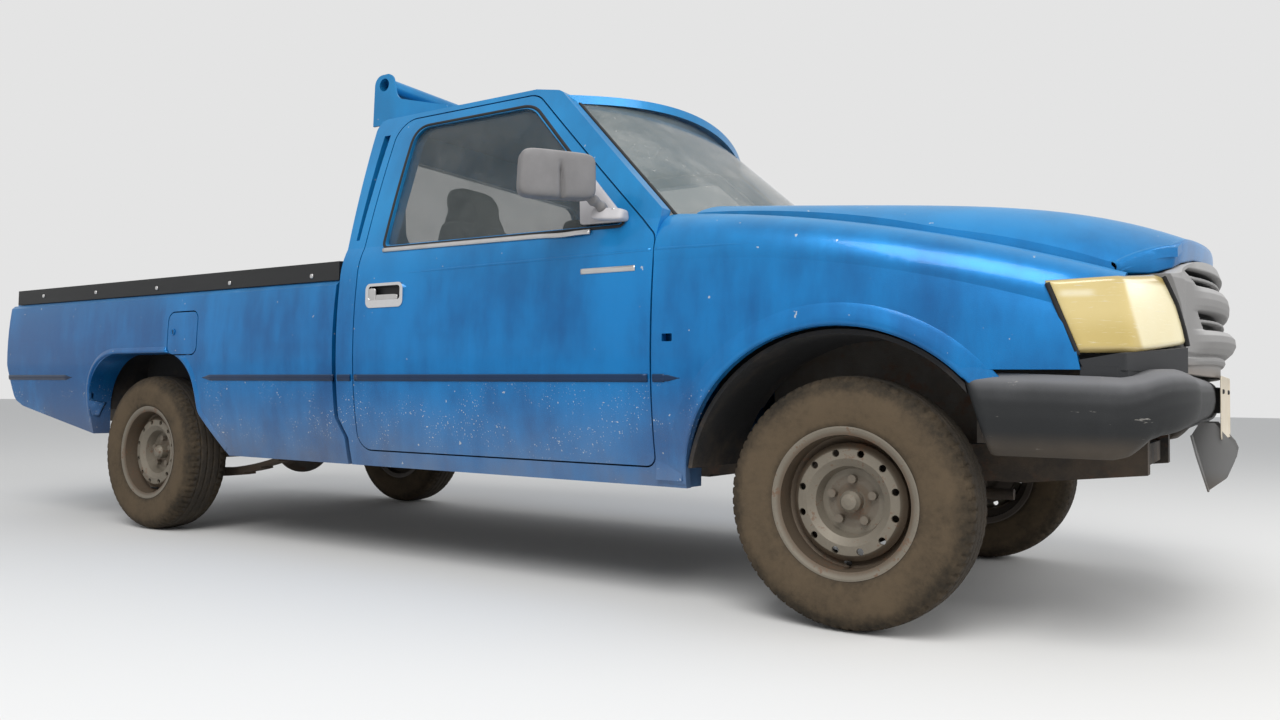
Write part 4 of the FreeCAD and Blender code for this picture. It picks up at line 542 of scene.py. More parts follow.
# Door handles: a chromed cup is sunk in the door behind its bezel, with a chromed paddle at its lower left. The cup's
# floor is black.
def pebble(centre, size, soft=0.35, rows=28, columns=40):
    """Closed rounded box. A sphere's latitude and longitude, with the sines and cosines raised to a low power so
    that the sides go flat and the corners stay soft. The angles are spread so that each face gets even steps."""
    def lean(share):
        return np.arctan(np.sign(share) * np.abs(share) ** (1 / soft))

    def power(value):
        return np.sign(value) * np.abs(value) ** soft

    quarter = np.linspace(-1, 1, columns // 4, False)
    turn = np.concatenate([lean(quarter) + k * math.pi / 2 for k in (-2, -1, 0, 1)])[None, :]
    cap = math.pi / 2 - lean(np.linspace(0, 1, rows // 4, False))
    up = np.concatenate([-cap, lean(np.linspace(-1, 1, rows // 2)), cap[::-1]])[:, None]
    shape = np.stack([power(np.cos(up)) * power(np.cos(turn)), power(np.cos(up)) * power(np.sin(turn)),
                      power(np.sin(up)) * np.ones_like(turn)], -1)
    return np.array(centre) + shape * np.array(size) / 2


chrome, shader, place = start("handle_chrome")
pitted = place.noise(500, 3, 0.6).ramp(0.58, 0.72)
inside = 1 - place.axis(1).size().ramp(0.838, 0.842)
plating = pitted.tint((0.72, 0.72, 0.73), (0.35, 0.30, 0.25))
feed(shader, base_color=inside.tint(plating, (0.012, 0.012, 0.013)), metallic=1 - inside,
     roughness=0.14 + pitted * 0.35 + inside * 0.4, bump=place.noise(200, 2), depth=0.0001)
dress(chrome, "door_handle_right", "door_handle_left")
paddle = [pebble((0.004, -0.8435, 0.925), (0.034, 0.007, 0.046), 0.4),
          pebble((0.058, -0.8405, 0.9150), (0.130, 0.006, 0.020), 0.4)]
add_both("handle_paddle", paddle, bright, "door_right", "handle_chrome", ends=False)


# Door mirrors: a moulded shell of grey plastic with soft edges and a pressed crease up its front, on a short arm that
# is screwed to a foot in the window's corner. The plastic is chalky on top.
grey_shell, shader, place = start("mirror_plastic")
cloud = place.noise(14, 4, 0.6)
chalk = upward(place, 0.3, 0.9)
feed(shader, base_color=(cloud * 0.6 + chalk * 0.6).tint((0.115, 0.110, 0.110), (0.27, 0.262, 0.262)),
     roughness=0.50 + cloud * 0.15, bump=place.noise(1100, 2) + place.noise(30, 2) * 0.4, depth=0.00025)
sail_grey, shader, place = start("sail_grey")
cloud = place.noise(9, 4, 0.6)
feed(shader, base_color=cloud.tint((0.34, 0.33, 0.34), (0.52, 0.50, 0.51)), roughness=0.5 + cloud * 0.2,
     bump=place.noise(900, 2), depth=0.0002)
mirror_glass, shader, place = start("mirror_glass")
smear = place.noise(20, 4, 0.6)
feed(shader, base_color=smear.tint((0.62, 0.65, 0.66), (0.45, 0.46, 0.46)), metallic=1.0,
     roughness=0.05 + smear.ramp(0.45, 0.8) * 0.3)


def unit_block(soft, rows, columns):
    """The three coordinates, from -1 to 1, of a rounded box that a formula bends into shape."""
    return np.moveaxis(pebble((0, 0, 0), (2, 2, 2), soft, rows, columns), -1, 0)


def ringed(line, rings):
    """A closed line drawn in to rings (share of its size, height): both coordinates in its plane, and the height."""
    share, height = np.array(rings).T[:, :, None]
    middle = line.mean(0)
    spread = middle + (line - middle)[None] * share[..., None]
    return spread[..., 0], spread[..., 1], height + 0 * spread[..., 0]


mirror_x, mirror_y, mirror_turn = 0.883, -0.960, 0.70
ahead, across, upright = unit_block(0.30, 120, 160)
crease = np.exp(-((across - 0.06 + 0.05 * upright) / (0.022 + 0.040 * (1 - upright) / 2)) ** 2)
crease *= np.clip((0.62 - upright) / 0.5, 0, 1) * np.clip((ahead - 0.3) / 0.3, 0, 1)
shell = [0.042 * ahead * (1 - 0.05 * across ** 2 - 0.05 * upright ** 2) - 0.016 * crease
         - 0.005 * (1 - upright) * np.clip(ahead, 0, 1),
         0.111 * across * (1 - 0.02 * upright), 1.218 + 0.067 * upright * (1 - 0.03 * across)]
pane = [-0.0425 + 0.0022 * ahead, 0.097 * across, 1.217 + 0.054 * upright]
shell, pane = [np.stack([mirror_x + out * math.cos(mirror_turn) + wide * math.sin(mirror_turn),
                         mirror_y - out * math.sin(mirror_turn) + wide * math.cos(mirror_turn), z], -1)
               for out, wide, z in (shell, pane)]
along = np.linspace(0, 1, 24)
arm_line = np.stack([0.962 - 0.032 * along, -0.824 - 0.070 * along, 1.126 + 0.048 * along ** 0.7], 1)
arm_swell = 0.0135 + sum(0.004 * np.exp(-((along - at) / wide) ** 2) for at, wide in ((0.55, 0.10), (0.2, 0.08)))
arm = sweep(arm_line, circle(18), (0, 0, 1), size=arm_swell)
ahead, across, upright = unit_block(0.4, 30, 44)
base = np.stack([0.974 + 0.056 * ahead, -0.820 + 0.026 * across * (1 - 0.25 * upright),
                 1.120 + 0.019 * upright - 0.006 * ahead], -1)
screws = [pebble((x, -0.836, z), (0.013, 0.013, 0.007), 0.7, 10, 14) for x, z in ((0.951, 1.139), (0.998, 1.131))]
x, z, proud = ringed(rounded([(0.862, 1.100, 0.014), (1.030, 1.098, 0.010), (0.800, 1.326, 0.022)], 0.006, True),
                     [(1.0, -0.012), (1.0, 0.001), (0.985, 0.0035), (0.94, 0.0045), (0.5, 0.0045), (0.02, 0.0045)])
sail = np.stack([x, -0.812 - (1.1 - z) * 0.322 - proud, z], -1)
for made, side in zip(add_both("mirror_shell", shell, grey_shell, "door_right", "mirror_plastic", ends=False),
                      ("right", "left")):
    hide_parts("mirror_" + side)
add_both("mirror_pane", pane, mirror_glass, "door_right", "mirror_plastic", ends=False)
add_both("mirror_arm", arm, grey_shell, "door_right", "mirror_plastic")
add_both("mirror_foot", base, sail_grey, "door_right", "mirror_plastic", ends=False)
add_both("mirror_screws", screws, bright, "door_right", "handle_chrome", ends=False)
add_both("mirror_sail", sail, sail_grey, "door_right", "mirror_plastic")


# Bonnet's front edge: the lid's skin is rolled down over the lamps' tops and rises in an arch over the grille. It is
# one pressing with the lid, painted with it, and its hem is folded back inside.
edge_y = np.linspace(-0.654, 0.0, 130)  # the right half, mirrored below
edge_x = np.where(edge_y < -0.54, 2.415 + (edge_y + 0.54) * 1.027, 2.467 - 0.1783 * edge_y ** 2)
edge_x = edge_x - 0.006 * np.exp(-((edge_y + 0.545) / 0.03) ** 2)
skin = lay("bonnet", edge_x - 0.010, edge_y, 2, 2.0)
hem = np.interp(-edge_y, [0.0, 0.213, 0.362, 0.496, 0.555, 0.573, 0.590, 0.654],
                [0.966, 0.961, 0.951, 0.930, 0.909, 0.901, 0.8965, 0.894])
drop = np.maximum(skin - hem, 0.015)
over = np.array([(-0.016, -0.0005), (-0.006, 0.0004), (0.0005, -0.004), (0.0012, -0.012)])  # out, up
fall = np.linspace(0, 1, 12)[:, None]
outer_x = np.concatenate([edge_x + over[:, :1], edge_x + 0.0012 - 0.006 * fall ** 2])
outer_z = np.concatenate([skin + over[:, 1:], skin - 0.012 - (drop - 0.009) * fall])
inner_z = outer_z - np.concatenate([np.full((4, 1), 0.003), 0 * fall])
roll = np.stack([np.concatenate([outer_x, outer_x[::-1] - 0.004]), np.broadcast_to(edge_y, (32, 130)),
                 np.concatenate([outer_z, inner_z[::-1]])], -1).swapaxes(0, 1)
add("bonnet_edge", np.concatenate([roll, roll[-2::-1] * to_left]), blue_paint, "bonnet", "blue_paint")


# Headlamps: a plastic cover that the sun has turned cream and yellow, bent round the corner and tucked in along its
# edges. The part ahead of the corner is paler, and a pale bar near its top is a painted glint. A black rubber strip
# fills the gap to the wing as painted shade.
cream, shader, place = start("sun_yellowed_cover")
haze = place.noise(7, 4, 0.6)
ahead = (place.axis(0) + place.axis(2) * 0.215).ramp(2.503, 2.513)
low = 1 - place.axis(2).ramp(0.735, 0.80)
side_tone = (haze * 0.5 + low * 0.6).tint((0.66, 0.53, 0.24), (0.50, 0.375, 0.12))
front_tone = (haze * 0.8).tint((0.80, 0.74, 0.52), (0.70, 0.58, 0.30))
# Painted glint: a pale bar across the side part near its top.
painted_glint = place.axis(2).band(0.828, 0.842, 0.006) * place.axis(0).band(2.195, 2.262, 0.012)
tone = (painted_glint * 0.5).tint(ahead.tint(side_tone, front_tone), (0.85, 0.80, 0.62))
edge = place.axis(2).band(0.712, 0.862, 0.008)
scratch = place.noise(60, 3, 0.6, (0.4, 0.4, 6.0)).ramp(0.60, 0.75)
feed(shader, base_color=edge.tint((0.42, 0.32, 0.12), scratch.tint(tone, (0.62, 0.55, 0.38))),
     roughness=0.16 + haze * 0.16 + scratch * 0.25, coat_weight=0.6, coat_roughness=0.12,
     bump=place.noise(90, 2) * 0.4 + scratch * 0.2, depth=0.0003)
dress(cream, "headlamps")
share = np.linspace(0, 1, 70)[:, None]  # from the rear edge round the corner to the grille
up = np.linspace(0, 1, 44)[None]
corner_share, softness = 0.42, 0.012
bend = (share - corner_share) / (1 - corner_share)
ahead_part, rear_part = [(s + np.sqrt(s * s + softness)) / 2 for s in (bend, -bend * 1.38)]
corner = np.stack([2.340 - 0.022 * up, -0.748 - 0.019 * up], -1)
rear_end = np.stack([2.2300 - 0.0650 * up, -0.7848 - 0.0150 * up], -1)
inner_end = np.stack([2.4346 - 0.0433 * up ** 2, -0.545 - 0.083 * up ** 2], -1)
plan = corner + (rear_end - corner) * rear_part[..., None] + (inner_end - corner) * ahead_part[..., None]
foot_z = 0.7005 + 0.0265 * np.clip((plan[..., 1] + 0.73) / 0.182, 0, 1)
top_z = 0.866 + 0.0488 * (plan[..., 0] - 2.165) + 0.008 * np.clip((plan[..., 0] - 2.33) / 0.05, 0, 1)
normal = beside(plan)
normal *= np.sign(normal[..., :1])
from_edge = np.minimum(np.minimum(up, 1 - up) * 0.175, share * 0.16 + 0.002)
lens_depth = 0.030
tuck = 0.011 * (1 - np.clip(from_edge / 0.013, 0, 1)) ** 2.2 - 0.0025 * np.sin(math.pi * up) * np.sin(math.pi * share)
front = plan - normal * tuck[..., None]
cover = np.concatenate([front, (foot_z + (top_z - foot_z) * up)[..., None]], -1)
inside = cover - np.concatenate([normal * lens_depth, 0 * cover[..., 2:]], -1)
cover = np.concatenate([cover, inside[:, ::-1]], 1)
covers = add("headlamp_covers", [cover, cover * to_left], cream, "truck", "lamp_plastic")
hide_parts("headlamps")
# A black rubber strip behind the lamp's rear edge stands in for the shade in the gap to the wing.
gap = 0.010  # the strip lies that far behind the lamp's edge
line = on_face("headlamps", *np.linspace((2.1685 + gap, 0.860), (2.2305 + gap, 0.694), 30).T) - (gap, 0, 0)
gap_shade_bead = bead((0.006, -0.006), (0.0055, 0.0005), 0.0022)
add_both("lamp_gap_shade", sweep(line, gap_shade_bead, (0, -1, 0)), rubber, "truck", "tyre_rubber")


# Bumper, filler strips under the lamps and guard brackets: grained dark plastic, weathered pale on its upper curve,
# scuffed low down at the corner and brown with dirt along the lower edge. The brackets are grey-painted sheet.
def weathered(name, dark, pale, low_edge=None, scuffs=0.0):
    """Moulded plastic: grain, chalky upper faces, pale scuffs and a dirty lower edge."""
    material, shader, place = start(name)
    cloud = place.noise(6, 5, 0.62)
    chalk = (upward(place, -0.05, 0.85) * 0.8 + cloud * 0.35).ramp(0.15, 1.0)
    colour = chalk.tint(dark, pale)
    scuff = place.noise(16, 5, 0.7, (0.5, 0.5, 3.0)).ramp(0.64, 0.70) * scuffs
    colour = scuff.tint(colour, (0.30, 0.285, 0.26))
    if low_edge:
        grime = (1 - place.axis(2).ramp(low_edge, low_edge + 0.055)) * (0.15 + 0.6 * cloud)
        colour = grime.tint(colour, (0.115, 0.088, 0.062))
    feed(shader, base_color=colour, roughness=0.50 + cloud * 0.2 + scuff * 0.2,
         specular_ior_level=0.3, bump=place.noise(750, 2) + place.noise(12, 3) * 0.8 - scuff * 0.5, depth=0.0004)
    return material


bumper_plastic = weathered("bumper_plastic", (0.012, 0.013, 0.014), (0.150, 0.150, 0.156), 0.470, 0.8)
trim_plastic = weathered("trim_plastic", (0.020, 0.021, 0.023), (0.16, 0.155, 0.150), None, 0.3)
dress(trim_plastic, "lamp_trims")
dress(weathered("bracket_grey", (0.17, 0.168, 0.165), (0.30, 0.295, 0.29), 0.365, 0.5), "front_guard")


def arc(start, via, end, count):
    """Points of the circle through three points, evenly turned from start to end."""
    a, b, c = [complex(*point) for point in (start, via, end)]
    w = (c - a) / (b - a)
    middle = (b - a) * (w - abs(w) ** 2) / (2j * w.imag) + a
    first, last = [math.atan2((point - middle).imag, (point - middle).real) for point in (a, c)]
    between = math.atan2((b - middle).imag, (b - middle).real)
    if not min(first, last) < between < max(first, last):
        last += 2 * math.pi if last < first else -2 * math.pi
    turn = np.linspace(first, last, count)
    return np.stack([middle.real + abs(a - middle) * np.cos(turn), middle.imag + abs(a - middle) * np.sin(turn)], 1)


def smoothed(values, weights, **ends):
    """Each value made the weighted mean of its neighbours, with the line drawn on past its ends."""
    return np.convolve(np.pad(values, len(weights) // 2, **ends), weights, "valid")


side = np.linspace((1.985, -0.832), (2.285, -0.826), 41)[:-1]
corner = arc((2.285, -0.826), (2.430, -0.712), (2.463, -0.560), 50)
plan = np.concatenate([side, corner[:-1], arc((2.463, -0.560), (2.480, 0.0), (2.463, 0.560), 80),
                       corner[-2::-1] * (1, -1), side[::-1] * (1, -1)])
outward = beside(plan)
share = np.concatenate([np.linspace(0, 1, 44), np.linspace(1, 0, 10)])  # up the front, then down the inside
roll = np.interp(share[:44], [0.0, 0.05, 0.14, 0.28, 0.45, 0.66, 0.80, 0.90, 0.96, 1.0],
                 [0.030, 0.017, 0.009, 0.003, 0.000, 0.0012, 0.006, 0.013, 0.022, 0.038])
roll = smoothed(roll, [0.1, 0.22, 0.36, 0.22, 0.1], mode="edge")
wall_depth = 0.066
inset = np.concatenate([roll, np.full(10, wall_depth)])
y_in = np.abs(plan[:, 1])
low = np.interp(y_in, [0.0, 0.33, 0.63, 0.69, 0.738, 0.764, 0.782, 0.798, 0.816],
                [0.548, 0.546, 0.534, 0.524, 0.517, 0.507, 0.487, 0.470, 0.462])
high = np.interp(y_in, [0.0, 0.52, 0.62, 0.684, 0.729, 0.754, 0.781, 0.805, 0.824],
                 [0.657, 0.657, 0.662, 0.666, 0.665, 0.659, 0.649, 0.644, 0.646])
high = high + 0.012 * np.clip((2.285 - plan[:, 0]) / 0.30, 0, 1)
lean_back = 0.062 * np.clip(1 - to_end(plan) / 36.0, 0, 1)
close = 0.72 + 0.28 * np.clip(to_end(plan) / 2.5, 0.0, 1.0)[:, None] ** 0.5
middle_inset = 0.034
depth = middle_inset + (inset - middle_inset) * close
height = 0.5 + (share - 0.5) * (0.86 + 0.14 * close)
z = low[:, None] + (high - low)[:, None] * height
x = plan[:, :1] - outward[:, :1] * depth + lean_back[:, None] * (1 - share)
y = plan[:, 1:] - outward[:, 1:] * depth
bumper = add("bumper_moulding", np.stack([x, y, z], -1), bumper_plastic, "truck", "bumper_plastic")
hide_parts("bumper")
skirt_z = 0.650
skirt_line = np.concatenate([np.linspace((2.235, -0.782, skirt_z), (2.310, -0.768, skirt_z), 12),
                             np.linspace((2.330, -0.752, skirt_z), (2.425, -0.560, skirt_z), 20)])
skirt = sweep(skirt_line, [(-0.018, -0.012), (-0.018, -0.001), (0.018, -0.001), (0.018, -0.012)], (0.85, -0.5, 0))
add("trim_skirts", [skirt, skirt * to_left], trim_plastic, "truck", "bumper_plastic").data.shade_flat()


# Number plate: a bare pressed plate with a rolled edge, faded to cream. It stands off the bumper on two screws and
# has been knocked a little round.
plate_paint, shader, place = start("bare_plate")
stain = place.noise(9, 5, 0.65)
feed(shader, base_color=stain.tint((0.68, 0.62, 0.50), (0.50, 0.42, 0.31)), roughness=0.45 + stain * 0.2,
     bump=place.noise(60, 3), depth=0.0004)
rim = rounded([(-0.165, -0.085, 0.014), (0.165, -0.085, 0.014), (0.165, 0.085, 0.014), (-0.165, 0.085, 0.014)],
              0.008, True)
shrink = np.array([(0.3, -0.0006), (0.995, -0.0006), (1.0, 0.0008), (0.995, 0.0022), (0.96, 0.0026), (0.945, 0.0010),
                   (0.3, 0.0008)])
grid = rim[None] * shrink[:, 0][:, None, None]
plate_x, askew, leg_y = 2.4955, 0.0393, 0.098
plate = np.stack([plate_x + askew * grid[..., 0] + 0.02 * grid[..., 1] ** 2 + shrink[:, 1][:, None],
                  grid[..., 0], 0.5805 + grid[..., 1]], -1)
add("number_plate", plate, plate_paint, "truck", "bumper_plastic")
plate_screws = [pebble((plate_x + askew * y + 0.002, y, 0.624), (0.008, 0.013, 0.013), 0.7, 12, 16)
                for y in (-leg_y, leg_y)]
plate_legs = [pebble((plate_x - 0.0135 + askew * y, y, 0.600), (0.022, 0.030, 0.070), 0.3, 14, 20)
              for y in (-leg_y, leg_y)]
add("plate_screws", plate_screws, chrome, "truck", "handle_chrome", ends=False)
add("plate_legs", plate_legs, rubber, "truck", "bumper_plastic", ends=False)


# Grille: one moulding of mid grey plastic, bowed like the bonnet's edge and clipped to the radiator panel between the
# lamps. It is chalky on its bars, and the faces deep in its mouths are painted near black as painted shade. Black
# rubber strips along the lamps' edges stand in for the shade in the gaps, and the radiator behind has dark fins.
grille_grey, shader, place = start("grille_plastic")
cloud = place.noise(11, 4, 0.6)
chalk = (upward(place, -0.2, 0.9) + cloud * 0.4).ramp(0.1, 1.2)
grille_x, grille_bow = 2.503, 0.2675  # its face in the middle, and how it falls back with the square of y
# Painted shade: faces deep in the mouths and behind the face are near black.
deep = 1 - (place.axis(0) + place.axis(1) * place.axis(1) * grille_bow).ramp(2.468, 2.478)
grime = (1 - place.axis(2).ramp(0.66, 0.70)) * (0.3 + cloud * 0.4)
colour = chalk.tint((0.185, 0.180, 0.176), (0.36, 0.352, 0.345))
colour = deep.tint(grime.tint(colour, (0.20, 0.150, 0.11)), (0.012, 0.012, 0.012))
feed(shader, base_color=colour, roughness=0.5 + cloud * 0.2, bump=place.noise(800, 2) + place.noise(25, 3),
     depth=0.0003)


def ease(value, low, high):
    """0 under low, 1 over high, smooth between."""
    share = np.clip((value - low) / (high - low), 0, 1)
    return share * share * (3 - 2 * share)


height = np.linspace(0.6605, 0.957, 200)[:, None]
half_width = np.interp(
    height, [0.660, 0.700, 0.727, 0.761, 0.818, 0.868, 0.887, 0.891, 0.897, 0.904, 0.922, 0.936, 0.945, 0.953, 0.957],
    [0.5405, 0.545, 0.550, 0.561, 0.586, 0.622, 0.638, 0.600, 0.568, 0.550, 0.494, 0.425, 0.362, 0.270, 0.190])
y = half_width * np.linspace(-1, 1, 300)[None]
side = np.abs(y)
level = height - 0.013 * np.clip(1 - (side / 0.47) ** 2, 0, 1)
nose = np.interp(level, [0.660, 0.678, 0.682, 0.690, 0.699, 0.702, 0.706, 0.709, 0.722, 0.738, 0.755, 0.766, 0.769,
                         0.813, 0.817, 0.828, 0.845, 0.862, 0.874, 0.878, 0.915, 0.920, 0.935, 0.957],
                 [-0.018, -0.018, -0.010, -0.006, -0.008, -0.014, -0.013, 0.000, 0.013, 0.020, 0.018, 0.009, 0.003,
                  -0.006, 0.000, 0.004, 0.005, 0.002, -0.005, -0.010, -0.014, -0.013, -0.018, -0.026])
cheek = np.interp(level, [0.660, 0.678, 0.682, 0.699, 0.702, 0.706, 0.712, 0.880, 0.900, 0.957],
                  [-0.012, -0.012, -0.004, -0.003, -0.008, -0.006, 0.002, 0.001, -0.004, -0.014])
cheek = cheek + 0.011 * ease(side, 0.51, 0.58)
relief = cheek + (nose - cheek) * (1 - ease(side, 0.36, 0.50))
mouth, mouth_depth, slat_height = np.zeros_like(y), 0.048, 0.040
for foot, top, wide, slope in ((0.7685, 0.8125, 0.402, 0.67), (0.8775, 0.9150, 0.440, 2.4)):
    edge = np.minimum(wide + slope * (level - foot), half_width - 0.035)
    middle = (foot + top) / 2
    within = ease(level, foot - 0.0022, foot + 0.0022) * (1 - ease(level, top - 0.0022, top + 0.0022))
    slat = ease(level, middle - 0.0060, middle - 0.0035) * (1 - ease(level, middle + 0.0035, middle + 0.0060))
    mouth += within * (1 - ease(side, edge - 0.008, edge + 0.006)) * (mouth_depth - slat_height * slat)
bow = grille_x - grille_bow * y ** 2
face, back = [np.stack([x, y, height + 0 * y], -1) for x in (bow + relief - mouth, bow - 0.062)]
grille = add("grille_moulding", np.concatenate([face, back[:, ::-1]], 1), grille_grey, "truck", "grille_plastic")
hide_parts("grille")
# Black rubber strips along the lamps' edges stand in for the shade in the gaps between grille and lamps.
z = np.linspace(0.724, 0.888, 50)
reach = np.interp(z, height[:, 0], half_width[:, 0])
reach = smoothed(reach, np.full(7, 1 / 7), mode="reflect", reflect_type="odd") + 0.001
line = np.stack([2.3258 + 0.5209 * (0.763 - reach), -reach, z], 1)
seal = sweep(line, bead((0.0045, -0.008), (0.004, 0.0015), 0.003), (0.887, -0.462, 0))
add("grille_gap_shade", [seal, seal * to_left], rubber, "truck", "tyre_rubber")
fin_black, shader, place = start("radiator_black")
fins = place.waves("Z", 60.0, Distortion=0.4, Detail=1.0)
feed(shader, base_color=(fins * 0.5 + place.noise(20, 4) * 0.5).tint((0.008, 0.008, 0.008), (0.07, 0.06, 0.05)),
     roughness=0.65 + fins * 0.1, metallic=0.3, bump=fins, depth=0.002)
core = pebble((2.292, 0.0, 0.745), (0.034, 0.86, 0.34), 0.12, 40, 60)
add("radiator_core", core, fin_black, "truck", "chassis_black", ends=False)


# Load bed: a moulded black liner hangs over the rails and is held by bright screws. Its top has gone pale grey in
# long streaks, and dust lies on its floor.
liner, shader, place = start("liner_plastic")
streak = place.noise(5, 5, 0.65, (0.35, 3.0, 3.0))
top = upward(place, 0.6, 0.95)
colour = (top * (0.35 + 0.6 * streak)).tint((0.006, 0.0065, 0.007), (0.34, 0.325, 0.315))
colour = ((1 - place.axis(2).ramp(0.64, 0.70)) * streak.ramp(0.3, 0.7) * 0.6).tint(colour, dust_colour)
ribs = place.waves("Y", 4.5)
feed(shader, base_color=colour, roughness=0.45 + streak * 0.2 + top * 0.2,
     bump=place.noise(500, 3) * 0.5 + ribs.ramp(0.35, 0.65) * (1 - place.axis(2).ramp(0.66, 0.68)) * 5, depth=0.0008)
dress(liner, "bed_liner")
screw_line = np.array([(-2.256, 1.025), (-1.80, 1.021), (-1.327, 1.017), (-0.828, 1.012), (-0.341, 1.012)])
screws = [pebble(spot - (0, 0.001, 0), (0.017, 0.008, 0.017), 0.75, 14, 20)
          for spot in on_face("bed_liner", *screw_line.T)]
add_both("rail_screws", screws, bright, "truck", "handle_chrome", ends=False)


# Fuel flap: its round lock is pushed in from outside near the rear edge and painted with the flap. It has a slot
# across it and a thin raised rim.
lock_x, lock_z = -1.158, 0.826
lock_rings = np.array([(0.0135, -0.002), (0.0135, 0.0022), (0.0115, 0.0030), (0.0105, 0.0016), (0.0005, 0.0016)])
around, rise = circle(36).T
lock = np.stack([lock_x + lock_rings[:, :1] * around, -0.8492 - lock_rings[:, 1:] + 0 * around,
                 lock_z + lock_rings[:, :1] * rise], -1)
slot_bar = pebble((lock_x, -0.8510, lock_z), (0.0030, 0.0012, 0.0150), 0.5, 10, 14)
add("fuel_lock", lock, blue_paint, "fuel_flap", "handle_chrome")
add("fuel_lock_slot", slot_bar, rubber, "fuel_flap", "tyre_rubber", ends=False)


# Tail lamps: upright lenses let into the rear posts. The top and foot are red and the middle is amber over white, with
# fine upright flutes.
lens, shader, place = start("tail_lens")
height = place.axis(2)
flutes = place.waves("Y", 40.0)
tone = height.ramp(0.756, 0.760).tint((0.55, 0.52, 0.48), (0.62, 0.20, 0.01))
tone = height.ramp(0.856, 0.860).tint(tone, (0.36, 0.008, 0.008))
tone = height.ramp(0.712, 0.716).tint((0.30, 0.006, 0.006), tone)
feed(shader, base_color=(place.noise(20, 4) * 0.35).tint(tone, dust_colour),
     roughness=0.16 + place.noise(9, 3) * 0.15, coat_weight=0.5, bump=flutes, depth=0.0008)
dress(lens, "tail_lamps")


# Tailgate handle: a black moulded cup, screwed into the middle of the gate's outer skin, with a grey lift paddle that
# works both latches.
gate_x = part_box("tailgate")[0][0]
gate_cup = pebble((gate_x + 0.0015, 0.0, 0.900), (0.012, 0.225, 0.090), 0.22, 30, 60)
gate_paddle = pebble((gate_x - 0.0035, 0.0, 0.908), (0.010, 0.175, 0.048), 0.3, 24, 48)
add("gate_cup", gate_cup, rubber, "tailgate", "cabin_plastic", ends=False)
add("gate_paddle", gate_paddle, grey_shell, "tailgate", "cabin_plastic", ends=False)


# Cabin plastics: the dashboard and the steering wheel are moulded in grained dark grey. The doors have flat trim cards
# with an armrest and a window winder each.
cabin, shader, place = start("cabin_plastic")
cloud = place.noise(8, 4, 0.6)
feed(shader, base_color=(cloud * 0.7 + upward(place) * 0.3).tint((0.040, 0.041, 0.044), (0.085, 0.084, 0.084)),
     roughness=0.52 + cloud * 0.16, bump=place.cells(520.0), depth=0.0005)
dress(cabin, "dashboard")
wheel_black, shader, place = start("wheel_grip")
feed(shader, base_color=place.noise(30, 4).tint((0.018, 0.018, 0.019), (0.045, 0.044, 0.043)),
     roughness=0.42 + place.noise(14, 3) * 0.2, bump=place.cells(380.0), depth=0.0004)
dress(wheel_black, "steering_wheel")
x, z, proud = ringed(
    rounded([(-0.010, 0.470, 0.05), (0.985, 0.470, 0.10), (0.985, 1.000, 0.06), (-0.010, 1.020, 0.04)], 0.02, True),
    [(0.1, 0.0), (1.0, 0.0), (1.0, 0.003), (0.985, 0.0048), (0.93, 0.0052), (0.915, 0.0036), (0.1, 0.0036)])
add_both("door_card", np.stack([x, -0.7352 + proud, z], -1), cabin, "door_right", "cabin_plastic")
x = np.linspace(0.16, 0.60, 40)
armrest = sweep(np.stack([x, np.full(40, -0.717), 0.790 + 0.03 * (x - 0.16)], 1),
                [(0.020, -0.014), (0.024, 0.004), (0.014, 0.014), (-0.014, 0.014), (-0.024, 0.004), (-0.020, -0.014)],
                (0, 1, 0), size=np.clip(np.minimum(x - 0.155, 0.605 - x) / 0.05, 0.05, 1) ** 0.5)
add_both("armrest", armrest, wheel_black, "door_right", "cabin_plastic")
winder = [pebble(middle, size, soft, 20, 28) for middle, size, soft in (
    ((0.700, -0.722, 0.730), (0.040, 0.024, 0.040), 0.6), ((0.748, -0.714, 0.752), (0.110, 0.010, 0.018), 0.5),
    ((0.795, -0.706, 0.770), (0.020, 0.024, 0.020), 0.8))]
add_both("winder", winder, chrome, "door_right", "handle_chrome", ends=False)


# Gear lever: a cranked steel rod that comes up through a pleated rubber boot on the floor tunnel. Its round plastic
# knob is screwed on.
lever_x, boot_foot = 0.64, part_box("cab_floor")[1][2]
ring = circle(32)
rise = np.linspace(0, 1, 40)[:, None]
pleats = 0.062 * (1 - rise) ** 0.8 + 0.012 + 0.0035 * np.sin(rise * 34)
boot = np.stack([lever_x + pleats * ring[:, 0], pleats * ring[:, 1], boot_foot - 0.004 + 0.10 * rise + 0 * ring[:, 0]],
                -1)
add("gear_boot", boot, rubber, "truck", "cabin_plastic")
rise = np.linspace(0, 1, 30)
lever_line = np.stack([lever_x - 0.10 * rise ** 1.5, 0 * rise, boot_foot + 0.08 + 0.20 * rise], 1)
add("gear_rod", sweep(lever_line, ring, (0, 1, 0), size=0.0065), chrome, "truck", "handle_chrome")
add("gear_knob", pebble((lever_x - 0.10, 0.0, boot_foot + 0.292), (0.046, 0.046, 0.050), 0.85, 24, 32), wheel_black,
    "truck", "cabin_plastic", ends=False)


# Wipers: pressed arms in satin black, grey with dust on top, with a rubber blade each. They turn on two pivots in the
# cowl and park along the windscreen's foot.
wiper, shader, place = start("wiper_black")
dusty = place.noise(40, 4) * upward(place, 0.2, 0.9)
feed(shader, base_color=dusty.tint((0.012, 0.012, 0.012), (0.10, 0.09, 0.08)),
     roughness=0.42 + place.noise(25, 3) * 0.2, bump=place.noise(600, 2), depth=0.0002)
dress(wiper, "wipers")


